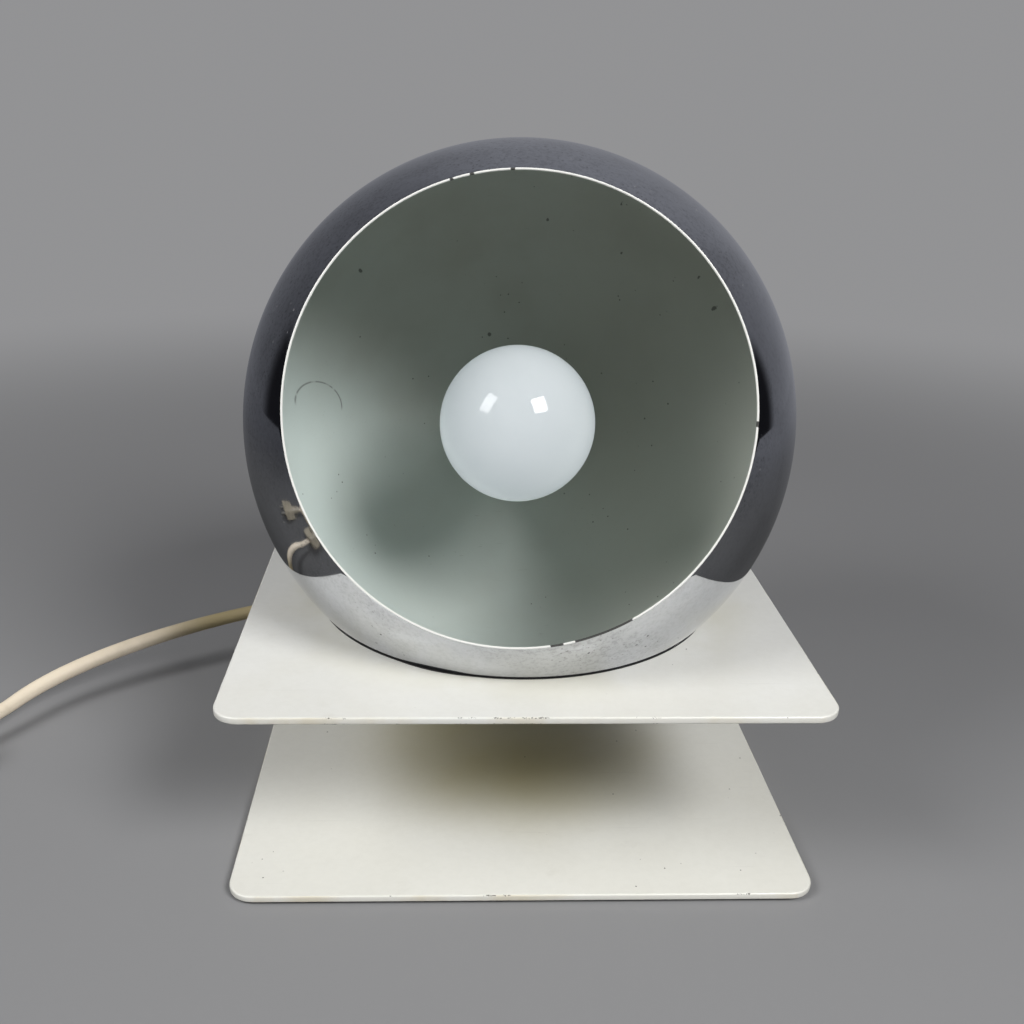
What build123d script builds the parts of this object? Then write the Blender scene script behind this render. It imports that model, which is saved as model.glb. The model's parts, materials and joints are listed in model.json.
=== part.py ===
from build123d import *
import os
from math import ceil, cos, pi, radians, sin, sqrt, tan

# A table lamp: a chromed ball shade with a round mouth rests in the hole of a square plate.
# A second plate stands on the table, and an upright channel at the back joins the two.
# Millimetres. The origin is under the middle of the lower plate, on the table.
# +X is to the right, +Y to the back and +Z up. The mouth looks to the front and a little up.

os.makedirs("parts", exist_ok=True)

# Plates and pad
plate_thickness = 2.5
plate_corner_radius = 9.0
plate_edge_radius = 0.6
plate_spacing = 66.5
pad_thickness = 1.0
pad_inset = 1.5

# Ball, mouth and seat
ball_diameter = 200.0
ball_wall = 0.8
mouth_share = 0.745
seat_share = 0.75
seat_clearance = 0.3
ring_wall = 0.6
ring_play = 0.1
ring_lip_width = 0.8
ring_lip_thickness = 0.4
aim_turn = radians(-3.55)
aim_rise = radians(19.1)

# Upright channel with its screws
upright_width = 72.0
upright_wall = 2.0
upright_front_gap = 2.4
upright_rear_inset = 1.5
screw_spacing = 40.0
screw_diameter = 4.0
screw_head_diameter = 7.6
screw_hole_play = 0.15
screw_tail = 0.8
nut_width = 7.0
nut_height = 3.2

# Cord, its bushing and the gland on the ball
cord_diameter = 5.5
cord_play = 0.15
cord_corner_share = 0.45
lead_straight = 23.0
bushing_height = 28.0
bushing_hole_share = 2 / 3
bushing_play = 0.1
bushing_flange_margin = 0.5
bushing_flange_thickness = 2.0
bushing_inner_length = 10.0
bushing_nut_margin = 1.0
bushing_nut_height = 3.5
relief_length = 23.0
relief_root_diameter = 12.0
relief_tip_wall = 1.4

# Threaded tube through the back of the ball
tube_diameter = 10.0
tube_bore = 6.6
tube_hole_play = 0.2
tube_washer_diameter = 18.0
tube_washer_thickness = 1.0
tube_nut_width = 14.0
tube_nut_height = 4.0
tube_tail = 4.0

# Lampholder, measured from the back of its cap
holder_diameter = 40.0
holder_wall = 2.2
holder_floor = 2.5
holder_foot_diameter = 24.0
holder_foot_height = 6.0
holder_ledge_height = 18.0
holder_ledge_width = 2.3
holder_core_thickness = 6.0
holder_body_length = 30.0
holder_mouth_diameter = 38.0
holder_body_bore = 33.0
holder_play = 0.3
contact_height = 28.0
contact_gap = 0.3
contact_width = 5.0
contact_thickness = 0.6
contact_length = 12.0
thread_diameter = 26.4
thread_play = 0.4
thread_sheet = 0.4
thread_length = 26.0
terminal_spacing = 18.0
terminal_diameter = 3.0
terminal_head_diameter = 5.6
terminal_head_height = 2.2
wire_diameter = 2.2
wire_spacing = 2.6
wire_bend_share = 0.6

# Opal bulb, measured from its contact tip
bulb_diameter = 57.0
bulb_length = 104.0
bulb_glass_wall = 0.8
bulb_neck_diameter = 25.0
bulb_neck_overlap = 5.0
bulb_shoulder_share = 0.92
bulb_cap_length = 27.0
bulb_cap_sheet = 0.4
bulb_insulator_height = 5.5
bulb_tip_diameter = 10.0
bulb_tip_height = 1.5
stem_diameter = 8.0
stem_rise = 18.0
stem_flare_height = 3.0
filament_wire = 0.8
filament_span = 16.0
filament_rise = 14.0

# Switch on the cord
switch_length = 58.0
switch_width = 24.0
switch_height = 18.0
switch_corner_radius = 9.0
switch_edge_radius = 2.5
switch_wall = 2.0
switch_cavity_length = 38.0
switch_cavity_width = 16.0
switch_grip = 8.0
switch_grip_play = 0.05
switch_straight = 20.0
switch_heading = 236.0
switch_entry = (-228.0, -12.0)
rocker_length = 18.4
rocker_width = 10.4
rocker_window_play = 0.7
rocker_pivot_drop = 4.5
rocker_pin_diameter = 2.8
rocker_pin_play = 0.1
rocker_pin_bite = 1.5
rocker_swing = 14.0
rocker_crest = 5.5
rocker_top_length = 17.2
rocker_skirt = 1.0
rocker_dip = 3.6
rocker_keel_length = 8.0
rocker_keel_width = 4.0
rocker_keel_depth = 3.5
switch_screw_spacing = 46.0
switch_screw_offset = 7.0
switch_screw_diameter = 2.6
switch_screw_head_diameter = 4.8
switch_screw_head_height = 1.6
switch_screw_recess = 1.0
switch_screw_bite = 5.8
switch_contact_length = 9.0
switch_contact_width = 6.0
switch_contact_thickness = 1.0
switch_contact_height = 4.0
switch_contact_spacing = 26.0

# Put-away coil, its tie and the plug
coil_outer_radius = 40.5
coil_pitch = 6.2
coil_layer = 6.1
coil_turns_each_way = 3
coil_heading = 212.0
coil_straight = 20.0
coil_check_steps = 48
tie_thickness = 0.6
tie_width = 9.0
tie_play = 0.4
tie_turn = 70.0
plug_height = 7.5
plug_heading = 66.0
plug_straight = 17.0
plug_width = 35.0
plug_length = 36.0
plug_nose_width = 26.0
plug_shoulder = 12.0
plug_edge_radius = 2.5
plug_relief_length = 26.0
plug_pin_diameter = 4.0
plug_pin_length = 19.0
plug_pin_spacing = 18.6
plug_pin_root = 8.0
plug_pin_play = 0.05

# Levels and centres that follow from the sizes above; the plates are as wide as the ball
base_top = pad_thickness + plate_thickness
shelf_bottom = base_top + plate_spacing
shelf_top = shelf_bottom + plate_thickness
plate_side = ball_diameter
ball_radius = ball_diameter / 2
ball_inner_radius = ball_radius - ball_wall
seat_radius = seat_share * ball_radius
mouth_radius = mouth_share * ball_radius
seat_rise = sqrt(ball_radius**2 - seat_radius**2)
mouth_offset = sqrt(ball_radius**2 - mouth_radius**2)
ball_center = Vector(0, 0, shelf_top + seat_rise)

# The lamp's axis runs through the ball's centre and out of the middle of its mouth.
aim = Vector(cos(aim_rise) * sin(aim_turn), -cos(aim_rise) * cos(aim_turn), sin(aim_rise))
level = Vector(cos(aim_turn), sin(aim_turn), 0)
lamp_axis = Axis(ball_center, aim)
lamp_section = Plane(origin=ball_center, x_dir=level, z_dir=level.cross(aim))


def across_lamp(along):
    """A plane square to the lamp's axis, a distance along it from the ball's centre."""
    return Plane(origin=ball_center + aim * along, x_dir=level, z_dir=aim)


def route_radii(points):
    """The arc at each corner of a cord's route, which takes up a share of the shorter run beside it."""
    corners = [Vector(p) for p in points]
    runs = [b - a for a, b in zip(corners, corners[1:])]
    return [
        cord_corner_share * min(a.length, b.length) / tan(radians(a.get_angle(b) / 2))
        for a, b in zip(runs, runs[1:])
    ]


def cord_tube(points, name):
    """A cord's tube along straight runs with tangent arcs, and its length and radii in print."""
    radii = route_radii(points)
    with BuildPart() as tube:
        with BuildLine() as line:
            FilletPolyline(*points, radius=radii)
        with BuildSketch(Plane(origin=line.line @ 0, z_dir=line.line % 0)):
            Circle(cord_diameter / 2)
        sweep()
    length = line.wire().length
    section = pi * cord_diameter**2 / 4
    print(name, "length", round(length, 1), "radii", [round(r, 1) for r in radii])
    print(name, "volume over section times length", round(tube.part.volume / section / length, 4))
    return tube


# Pad under the lower plate
with BuildPart() as base_pad:
    with BuildSketch():
        RectangleRounded(
            plate_side - 2 * pad_inset, plate_side - 2 * pad_inset, plate_corner_radius - pad_inset
        )
    extrude(amount=pad_thickness)
base_pad.part.label = "base_pad"
export_step(base_pad.part, "parts/base_pad.step")

# The channel stands between the seat's hole and the back edge, open to the back.
ring_inner_radius = sqrt((ball_radius + seat_clearance) ** 2 - seat_rise**2)
ring_outer_radius = ring_inner_radius + ring_wall
hole_radius = ring_outer_radius + ring_play
upright_front = hole_radius + upright_front_gap
upright_rear = plate_side / 2 - upright_rear_inset
channel_depth = upright_rear - upright_front - upright_wall
upright_middle = upright_rear - channel_depth / 2
bushing_hole_radius = bushing_hole_share * channel_depth / 2
screw_places = [(-screw_spacing / 2, upright_middle), (screw_spacing / 2, upright_middle)]
screw_hole_radius = screw_diameter / 2 + screw_hole_play
screw_head_height = (screw_head_diameter - screw_diameter) / 2

# Lower plate, with countersunk screw holes from below
with BuildPart() as base_plate:
    with BuildSketch(Plane.XY.offset(pad_thickness)):
        RectangleRounded(plate_side, plate_side, plate_corner_radius)
    extrude(amount=plate_thickness)
    fillet(base_plate.edges().group_by(Axis.Z)[-1], plate_edge_radius)
    fillet(base_plate.edges().group_by(Axis.Z)[0], plate_edge_radius)
    with Locations(Plane(origin=(0, 0, pad_thickness), x_dir=(1, 0, 0), z_dir=(0, 0, -1))):
        with Locations(*[(x, -y) for x, y in screw_places]):
            CounterSinkHole(screw_hole_radius, screw_head_diameter / 2, counter_sink_angle=90)
base_plate.part.label = "base_plate"
export_step(base_plate.part, "parts/base_plate.step")

# Upper plate, with the ball's hole and countersunk screw holes from above
with BuildPart() as top_plate:
    with BuildSketch(Plane.XY.offset(shelf_bottom)):
        RectangleRounded(plate_side, plate_side, plate_corner_radius)
    extrude(amount=plate_thickness)
    fillet(top_plate.edges().group_by(Axis.Z)[-1], plate_edge_radius)
    fillet(top_plate.edges().group_by(Axis.Z)[0], plate_edge_radius)
    with Locations((0, 0, shelf_top)):
        Hole(hole_radius)
        with Locations(*screw_places):
            CounterSinkHole(screw_hole_radius, screw_head_diameter / 2, counter_sink_angle=90)
top_plate.part.label = "top_plate"
export_step(top_plate.part, "parts/top_plate.step")

# Upright channel: a folded web with two side walls and two screwed flanges
with BuildPart() as rear_upright:
    with BuildSketch(Plane.XY.offset(base_top)):
        with Locations((0, upright_front)):
            Rectangle(upright_width, upright_rear - upright_front, align=(Align.CENTER, Align.MIN))
        with Locations((0, upright_front + upright_wall)):
            Rectangle(
                upright_width - 2 * upright_wall,
                upright_rear - upright_front,
                align=(Align.CENTER, Align.MIN),
                mode=Mode.SUBTRACT,
            )
    extrude(amount=plate_spacing)
    for flange_level in (base_top, shelf_bottom - upright_wall):
        with BuildSketch(Plane.XY.offset(flange_level)):
            with Locations((0, upright_front)):
                Rectangle(upright_width, upright_rear - upright_front, align=(Align.CENTER, Align.MIN))
            with Locations(*screw_places):
                Circle(screw_hole_radius, mode=Mode.SUBTRACT)
        extrude(amount=upright_wall)
    with BuildSketch(Plane.YZ.offset(-upright_width / 2)):
        with Locations((upright_middle, bushing_height)):
            Circle(bushing_hole_radius)
    extrude(amount=upright_wall, mode=Mode.SUBTRACT)
rear_upright.part.label = "rear_upright"
export_step(rear_upright.part, "parts/rear_upright.step")


def screw_pair(head_face, direction):
    """Two countersunk screws whose heads end flush at a level and whose shanks run up or down."""
    shank = plate_thickness + upright_wall + nut_height + screw_tail
    with BuildPart() as screws:
        for x, y in screw_places:
            section = Plane(origin=(x, y, head_face), x_dir=(1, 0, 0), z_dir=(0, -direction, 0))
            with BuildSketch(section):
                with BuildLine():
                    Polyline(
                        (0, 0),
                        (screw_head_diameter / 2, 0),
                        (screw_diameter / 2, screw_head_height),
                        (screw_diameter / 2, shank),
                        (0, shank),
                        close=True,
                    )
                make_face()
            revolve(axis=Axis((x, y, head_face), (0, 0, direction)))
    return screws


base_screws = screw_pair(pad_thickness, 1)
base_screws.part.label = "base_screws"
export_step(base_screws.part, "parts/base_screws.step")

top_screws = screw_pair(shelf_top, -1)
top_screws.part.label = "top_screws"
export_step(top_screws.part, "parts/top_screws.step")

# Four nuts inside the channel, two on each flange
with BuildPart() as upright_nuts:
    for nut_level in (base_top + upright_wall, shelf_bottom - upright_wall - nut_height):
        with BuildSketch(Plane.XY.offset(nut_level)):
            with Locations(*screw_places):
                RegularPolygon(nut_width / 2, 6, major_radius=False)
                Circle(screw_hole_radius, mode=Mode.SUBTRACT)
        extrude(amount=nut_height)
upright_nuts.part.label = "upright_nuts"
export_step(upright_nuts.part, "parts/upright_nuts.step")

# Cord bushing in the channel's left wall: sleeve, flange and tapered relief, all with the cord's bore
cord_bore = cord_diameter / 2 + cord_play
relief_tip_radius = cord_bore + relief_tip_wall
wall_outside = -upright_width / 2
wall_inside = wall_outside + upright_wall
bushing_inner_end = wall_inside + bushing_inner_length
bushing_flange_face = wall_outside - bushing_flange_thickness
bushing_outer_end = bushing_flange_face - relief_length
bushing_section = Plane(
    origin=(0, upright_middle, bushing_height), x_dir=(0, 0, 1), z_dir=(0, 1, 0)
)
bushing_axis = Axis((0, upright_middle, bushing_height), (1, 0, 0))
bushing_sleeve_radius = bushing_hole_radius - bushing_play
bushing_flange_radius = channel_depth / 2 - bushing_flange_margin
with BuildPart() as cord_bushing:
    with BuildSketch(bushing_section):
        with BuildLine():
            Polyline(
                (cord_bore, bushing_inner_end),
                (bushing_sleeve_radius, bushing_inner_end),
                (bushing_sleeve_radius, wall_outside),
                (bushing_flange_radius, wall_outside),
                (bushing_flange_radius, bushing_flange_face),
                (relief_root_diameter / 2, bushing_flange_face),
                (relief_tip_radius, bushing_outer_end),
                (cord_bore, bushing_outer_end),
                close=True,
            )
        make_face()
    revolve(axis=bushing_axis)
cord_bushing.part.label = "cord_bushing"
export_step(cord_bushing.part, "parts/cord_bushing.step")

# Lock nut on the bushing, inside the wall
with BuildPart() as bushing_nut:
    with BuildSketch(Plane.YZ.offset(wall_inside)):
        with Locations((upright_middle, bushing_height)):
            RegularPolygon(channel_depth / 2 - bushing_nut_margin, 6, major_radius=False, rotation=30)
            Circle(bushing_hole_radius, mode=Mode.SUBTRACT)
    extrude(amount=bushing_nut_height)
bushing_nut.part.label = "bushing_nut"
export_step(bushing_nut.part, "parts/bushing_nut.step")

# Seat ring: lines the hole, with a lip on the plate and a round seat for the ball
seat_sphere_radius = ball_radius + seat_clearance
ring_top = shelf_top + ring_lip_thickness
ring_middle = (ring_top + shelf_bottom) / 2


def seat_radius_at(height):
    """The seat's radius at a height, on a sphere just larger than the ball."""
    return sqrt(seat_sphere_radius**2 - (ball_center.Z - height) ** 2)


with BuildPart() as seat_ring:
    with BuildSketch(Plane.XZ):
        with BuildLine():
            ThreePointArc(
                (seat_radius_at(shelf_bottom), shelf_bottom),
                (seat_radius_at(ring_middle), ring_middle),
                (seat_radius_at(ring_top), ring_top),
            )
            Polyline(
                (seat_radius_at(ring_top), ring_top),
                (hole_radius + ring_lip_width, ring_top),
                (hole_radius + ring_lip_width, shelf_top),
                (ring_outer_radius, shelf_top),
                (ring_outer_radius, shelf_bottom),
                (seat_radius_at(shelf_bottom), shelf_bottom),
            )
        make_face()
    revolve(axis=Axis.Z)
seat_ring.part.label = "seat_ring"
export_step(seat_ring.part, "parts/seat_ring.step")

# Ball shade: a spun shell from the mouth's edge to the small hole at its back
tube_hole_radius = tube_diameter / 2 + tube_hole_play
with BuildPart() as ball_shell:
    with BuildSketch(lamp_section):
        with BuildLine():
            ThreePointArc(
                (mouth_radius, mouth_offset),
                (ball_radius, 0),
                (tube_hole_radius, -sqrt(ball_radius**2 - tube_hole_radius**2)),
            )
            Line(
                (tube_hole_radius, -sqrt(ball_radius**2 - tube_hole_radius**2)),
                (tube_hole_radius, -sqrt(ball_inner_radius**2 - tube_hole_radius**2)),
            )
            ThreePointArc(
                (tube_hole_radius, -sqrt(ball_inner_radius**2 - tube_hole_radius**2)),
                (ball_inner_radius, 0),
                (sqrt(ball_inner_radius**2 - mouth_offset**2), mouth_offset),
            )
            Line(
                (sqrt(ball_inner_radius**2 - mouth_offset**2), mouth_offset),
                (mouth_radius, mouth_offset),
            )
        make_face()
    revolve(axis=lamp_axis)
ball_shell.part.label = "ball_shell"
export_step(ball_shell.part, "parts/ball_shell.step")

# Places along the lamp's axis, from the ball's back to the lampholder's mouth
washer_radius = tube_washer_diameter / 2
inner_washer_back = -sqrt(ball_inner_radius**2 - washer_radius**2)
holder_back = inner_washer_back + tube_washer_thickness
outer_washer_back = -ball_radius - tube_washer_thickness
outer_nut_back = outer_washer_back - tube_nut_height
tube_back = outer_nut_back - tube_tail
tube_front = holder_back + holder_floor + tube_nut_height + tube_hole_play
gland_end = outer_nut_back - relief_length

# Flat washers on both sides of the ball's wall
with BuildPart() as tube_washers:
    for washer_face in (inner_washer_back, outer_washer_back):
        with BuildSketch(across_lamp(washer_face)):
            Circle(washer_radius)
            Circle(tube_hole_radius, mode=Mode.SUBTRACT)
        extrude(amount=tube_washer_thickness)
tube_washers.part.label = "tube_washers"
export_step(tube_washers.part, "parts/tube_washers.step")

# Threaded tube that clamps the lampholder to the ball, with a nut on each end
with BuildPart() as threaded_tube:
    with BuildSketch(across_lamp(tube_back)):
        Circle(tube_diameter / 2)
        Circle(tube_bore / 2, mode=Mode.SUBTRACT)
    extrude(amount=tube_front - tube_back)
threaded_tube.part.label = "threaded_tube"
export_step(threaded_tube.part, "parts/threaded_tube.step")

with BuildPart() as tube_nuts:
    for nut_face in (outer_nut_back, holder_back + holder_floor):
        with BuildSketch(across_lamp(nut_face)):
            RegularPolygon(tube_nut_width / 2, 6, major_radius=False)
            Circle(tube_hole_radius, mode=Mode.SUBTRACT)
        extrude(amount=tube_nut_height)
tube_nuts.part.label = "tube_nuts"
export_step(tube_nuts.part, "parts/tube_nuts.step")

# Tapered relief on the tube's outer end, where the lead leaves the ball
with BuildPart() as ball_relief:
    with BuildSketch(lamp_section):
        with BuildLine():
            Polyline(
                (cord_bore, gland_end),
                (relief_tip_radius, gland_end),
                (tube_nut_width / 2, outer_nut_back),
                (tube_hole_radius, outer_nut_back),
                (tube_hole_radius, tube_back - tube_hole_play),
                (cord_bore, tube_back - tube_hole_play),
                close=True,
            )
        make_face()
    revolve(axis=lamp_axis)
ball_relief.part.label = "ball_relief"
export_step(ball_relief.part, "parts/ball_relief.step")

# Lampholder cap: a cup with a bevelled foot, open to the front
holder_radius = holder_diameter / 2
ledge_radius = holder_radius - holder_wall - holder_ledge_width
core_seat = holder_back + holder_ledge_height
holder_joint = core_seat + holder_core_thickness
with BuildPart() as lampholder_cap:
    with BuildSketch(lamp_section):
        with BuildLine():
            Polyline(
                (tube_hole_radius, holder_back),
                (holder_foot_diameter / 2, holder_back),
                (holder_radius, holder_back + holder_foot_height),
                (holder_radius, holder_joint),
                (holder_radius - holder_wall, holder_joint),
                (holder_radius - holder_wall, core_seat),
                (ledge_radius, core_seat),
                (ledge_radius, holder_back + holder_foot_height),
                (holder_foot_diameter / 2 - holder_wall / 2, holder_back + holder_floor),
                (tube_hole_radius, holder_back + holder_floor),
                close=True,
            )
        make_face()
    revolve(axis=lamp_axis)
lampholder_cap.part.label = "lampholder_cap"
export_step(lampholder_cap.part, "parts/lampholder_cap.step")

# Ceramic core that carries the contacts, clamped between the cap's ledge and the body
core_radius = holder_radius - holder_wall - holder_play
terminal_places = [(-terminal_spacing / 2, 0), (terminal_spacing / 2, 0)]
terminal_hole_radius = terminal_diameter / 2 + screw_hole_play
with BuildPart() as lampholder_core:
    with BuildSketch(across_lamp(core_seat)):
        Circle(core_radius)
        with Locations(*terminal_places):
            Circle(terminal_hole_radius, mode=Mode.SUBTRACT)
    extrude(amount=holder_core_thickness)
lampholder_core.part.label = "lampholder_core"
export_step(lampholder_core.part, "parts/lampholder_core.step")

# Two terminal screws under the core, heads to the back
with BuildPart() as terminal_screws:
    with BuildSketch(across_lamp(core_seat - terminal_head_height)):
        with Locations(*terminal_places):
            Circle(terminal_head_diameter / 2)
    extrude(amount=terminal_head_height)
    with BuildSketch(across_lamp(core_seat)):
        with Locations(*terminal_places):
            Circle(terminal_diameter / 2)
    extrude(amount=holder_core_thickness - holder_play)
terminal_screws.part.label = "terminal_screws"
export_step(terminal_screws.part, "parts/terminal_screws.step")

# Lampholder body: a slightly tapered sleeve in front of the cap
with BuildPart() as lampholder_body:
    with BuildSketch(lamp_section):
        with BuildLine():
            Polyline(
                (holder_body_bore / 2, holder_joint),
                (holder_radius, holder_joint),
                (holder_mouth_diameter / 2, holder_joint + holder_body_length),
                (holder_body_bore / 2, holder_joint + holder_body_length),
                close=True,
            )
        make_face()
    revolve(axis=lamp_axis)
lampholder_body.part.label = "lampholder_body"
export_step(lampholder_body.part, "parts/lampholder_body.step")

# Thin screw shell that takes the bulb, standing on the core
shell_bore_radius = thread_diameter / 2 + thread_play
with BuildPart() as screw_shell:
    with BuildSketch(across_lamp(holder_joint)):
        Circle(shell_bore_radius + thread_sheet)
        Circle(shell_bore_radius, mode=Mode.SUBTRACT)
    extrude(amount=thread_length)
screw_shell.part.label = "screw_shell"
export_step(screw_shell.part, "parts/screw_shell.step")

# Spring tongue under the bulb's tip: a foot on the core, a riser and a bent end
tip_place = holder_back + contact_height
tongue_top = tip_place - contact_gap
with BuildPart() as centre_contact:
    with BuildSketch(lamp_section):
        with BuildLine():
            Polyline(
                (-contact_length / 2, holder_joint),
                (0, holder_joint),
                (0, holder_joint + contact_thickness),
                (-contact_length / 2 + 2 * contact_thickness, holder_joint + contact_thickness),
                (-contact_length / 4, tongue_top - contact_thickness),
                (contact_length / 4, tongue_top - contact_thickness),
                (contact_length / 4, tongue_top),
                (-contact_length / 4 - contact_thickness, tongue_top),
                (-contact_length / 2, holder_joint + contact_thickness),
                close=True,
            )
        make_face()
    extrude(amount=contact_width / 2, both=True)
centre_contact.part.label = "centre_contact"
export_step(centre_contact.part, "parts/centre_contact.step")

# Lead inside the relief and the tube, and its two wires out to the terminals
lead_end = tube_front - tube_hole_play
with BuildPart() as holder_lead:
    with BuildSketch(across_lamp(gland_end)):
        Circle(cord_diameter / 2)
    extrude(amount=lead_end - gland_end)
holder_lead.part.label = "holder_lead"
export_step(holder_lead.part, "parts/holder_lead.step")

wire_level = core_seat - terminal_head_height / 2
wire_reach = (terminal_spacing - terminal_head_diameter) / 2
wire_bend = (wire_reach - wire_spacing / 2) * wire_bend_share
with BuildPart() as holder_wires:
    for side in (-1, 1):
        with BuildLine(lamp_section) as wire_line:
            FilletPolyline(
                (side * wire_spacing / 2, lead_end),
                (side * wire_spacing / 2, wire_level),
                (side * wire_reach, wire_level),
                radius=wire_bend,
            )
        with BuildSketch(Plane(origin=wire_line.line @ 0, z_dir=wire_line.line % 0)):
            Circle(wire_diameter / 2)
        sweep(path=wire_line.line)
holder_wires.part.label = "holder_wires"
export_step(holder_wires.part, "parts/holder_wires.step")

# Bulb: opal glass, screw cap, insulator and tip
bulb_radius = bulb_diameter / 2
globe_center = tip_place + bulb_length - bulb_radius
cap_front = tip_place + bulb_cap_length
cap_back = tip_place + bulb_insulator_height
cap_radius = thread_diameter / 2
glass_end = cap_front - bulb_neck_overlap


def glass_outline(inset):
    """Points down one side of the glass: round globe, sloping shoulder and straight neck."""
    globe = bulb_radius - inset
    shoulder = bulb_radius * bulb_shoulder_share - inset
    neck = bulb_neck_diameter / 2 - inset
    shoulder_place = globe_center - sqrt(globe**2 - shoulder**2)
    return (
        (0, globe_center + globe),
        (globe, globe_center),
        (shoulder, shoulder_place),
        (neck, cap_front + bulb_neck_overlap),
        (neck, glass_end),
    )


with BuildPart() as bulb_glass:
    with BuildSketch(lamp_section):
        with BuildLine():
            outer = glass_outline(0)
            inner = glass_outline(bulb_glass_wall)
            ThreePointArc(*outer[:3])
            Polyline(*outer[2:])
            Line(outer[4], inner[4])
            Polyline(*reversed(inner[2:]))
            ThreePointArc(*reversed(inner[:3]))
            Line(inner[0], outer[0])
        make_face()
    revolve(axis=lamp_axis)
bulb_glass.part.label = "bulb_glass"
export_step(bulb_glass.part, "parts/bulb_glass.step")

with BuildPart() as bulb_cap:
    with BuildSketch(across_lamp(cap_back)):
        Circle(cap_radius)
        Circle(cap_radius - bulb_cap_sheet, mode=Mode.SUBTRACT)
    extrude(amount=cap_front - cap_back)
bulb_cap.part.label = "bulb_cap"
export_step(bulb_cap.part, "parts/bulb_cap.step")

with BuildPart() as bulb_insulator:
    with BuildSketch(lamp_section):
        with BuildLine():
            Polyline(
                (0, tip_place + bulb_tip_height),
                (bulb_tip_diameter / 2, tip_place + bulb_tip_height),
                (cap_radius - bulb_cap_sheet, cap_back),
                (cap_radius - bulb_cap_sheet, cap_back + bulb_cap_sheet),
                (0, cap_back + bulb_cap_sheet),
                close=True,
            )
        make_face()
    revolve(axis=lamp_axis)
bulb_insulator.part.label = "bulb_insulator"
export_step(bulb_insulator.part, "parts/bulb_insulator.step")

with BuildPart() as bulb_tip:
    with BuildSketch(lamp_section):
        with BuildLine():
            ThreePointArc(
                (0, tip_place),
                (bulb_tip_diameter / 4, tip_place + bulb_tip_height / 4),
                (bulb_tip_diameter / 2, tip_place + bulb_tip_height),
            )
            Polyline(
                (bulb_tip_diameter / 2, tip_place + bulb_tip_height),
                (0, tip_place + bulb_tip_height),
                (0, tip_place),
            )
        make_face()
    revolve(axis=lamp_axis)
bulb_tip.part.label = "bulb_tip"
export_step(bulb_tip.part, "parts/bulb_tip.step")

# Glass stem inside the bulb, closing its neck, with the filament on two wires
stem_base_radius = bulb_neck_diameter / 2 - bulb_glass_wall - holder_play
stem_top = cap_front + stem_rise
with BuildPart() as bulb_stem:
    with BuildSketch(lamp_section):
        with BuildLine():
            Polyline(
                (0, glass_end),
                (stem_base_radius, glass_end),
                (stem_base_radius, glass_end + stem_flare_height),
                (stem_diameter / 2, cap_front + stem_flare_height),
                (stem_diameter / 2, stem_top),
                (0, stem_top),
                close=True,
            )
        make_face()
    revolve(axis=lamp_axis)
bulb_stem.part.label = "bulb_stem"
export_step(bulb_stem.part, "parts/bulb_stem.step")

filament_root = stem_top + filament_wire / 4
with BuildPart() as bulb_filament:
    with BuildLine(lamp_section) as filament_line:
        FilletPolyline(
            (-stem_diameter / 4, filament_root),
            (-filament_span / 2, stem_top + filament_rise),
            (filament_span / 2, stem_top + filament_rise),
            (stem_diameter / 4, filament_root),
            radius=3 * filament_wire,
        )
    with BuildSketch(Plane(origin=filament_line.line @ 0, z_dir=filament_line.line % 0)):
        Circle(filament_wire / 2)
    sweep(path=filament_line.line)
bulb_filament.part.label = "bulb_filament"
export_step(bulb_filament.part, "parts/bulb_filament.step")

# Slack lead from the ball's relief down behind the upright and into the bushing
lead_start = ball_center + aim * gland_end
lead_route = [
    lead_start,
    lead_start - aim * lead_straight,
    (13.0, upright_rear + 57.5, 66.0),
    (18.0, upright_rear + 53.5, 41.5),
    (22.0, upright_rear + 32.5, 27.0),
    (17.4, upright_rear + 12.0, 25.6),
    (3.6, upright_rear - 3.1, 26.8),
    (-9.0, upright_middle, bushing_height),
    (bushing_inner_end, upright_middle, bushing_height),
]
ball_lead = cord_tube(lead_route, "ball_lead")
ball_lead.part.label = "ball_lead"
export_step(ball_lead.part, "parts/ball_lead.step")

# Cord from the bushing out of the left side, down to the switch
switch_run = Vector(1, 0, 0).rotate(Axis.Z, switch_heading)
cord_level = switch_height / 2
switch_start = Vector(*switch_entry, cord_level)
cord_route = [
    (bushing_inner_end, upright_middle, bushing_height),
    (-77.0, upright_middle, bushing_height),
    (-129.0, 79.0, 22.0),
    (-172.0, 56.5, 17.5),
    (-203.0, 31.0, 12.5),
    switch_start - switch_run * switch_straight,
    switch_start + switch_run * switch_grip,
]
cord_run = cord_tube(cord_route, "cord_run")
cord_run.part.label = "cord_run"
export_step(cord_run.part, "parts/cord_run.step")


# Switch housing: a base and a cover meet at the cord's level, and grip the cord at both ends
switch_plane = Plane(
    origin=Vector(*switch_entry, 0) + switch_run * (switch_length / 2), x_dir=switch_run, z_dir=(0, 0, 1)
)
switch_screw_places = [
    (-switch_screw_spacing / 2, -switch_screw_offset),
    (switch_screw_spacing / 2, switch_screw_offset),
]
switch_head_top = switch_screw_recess + switch_screw_head_height
switch_hole_radius = switch_screw_diameter / 2 + screw_hole_play
switch_cord_plane = Plane(origin=switch_start, x_dir=switch_plane.y_dir, z_dir=switch_run)

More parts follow.
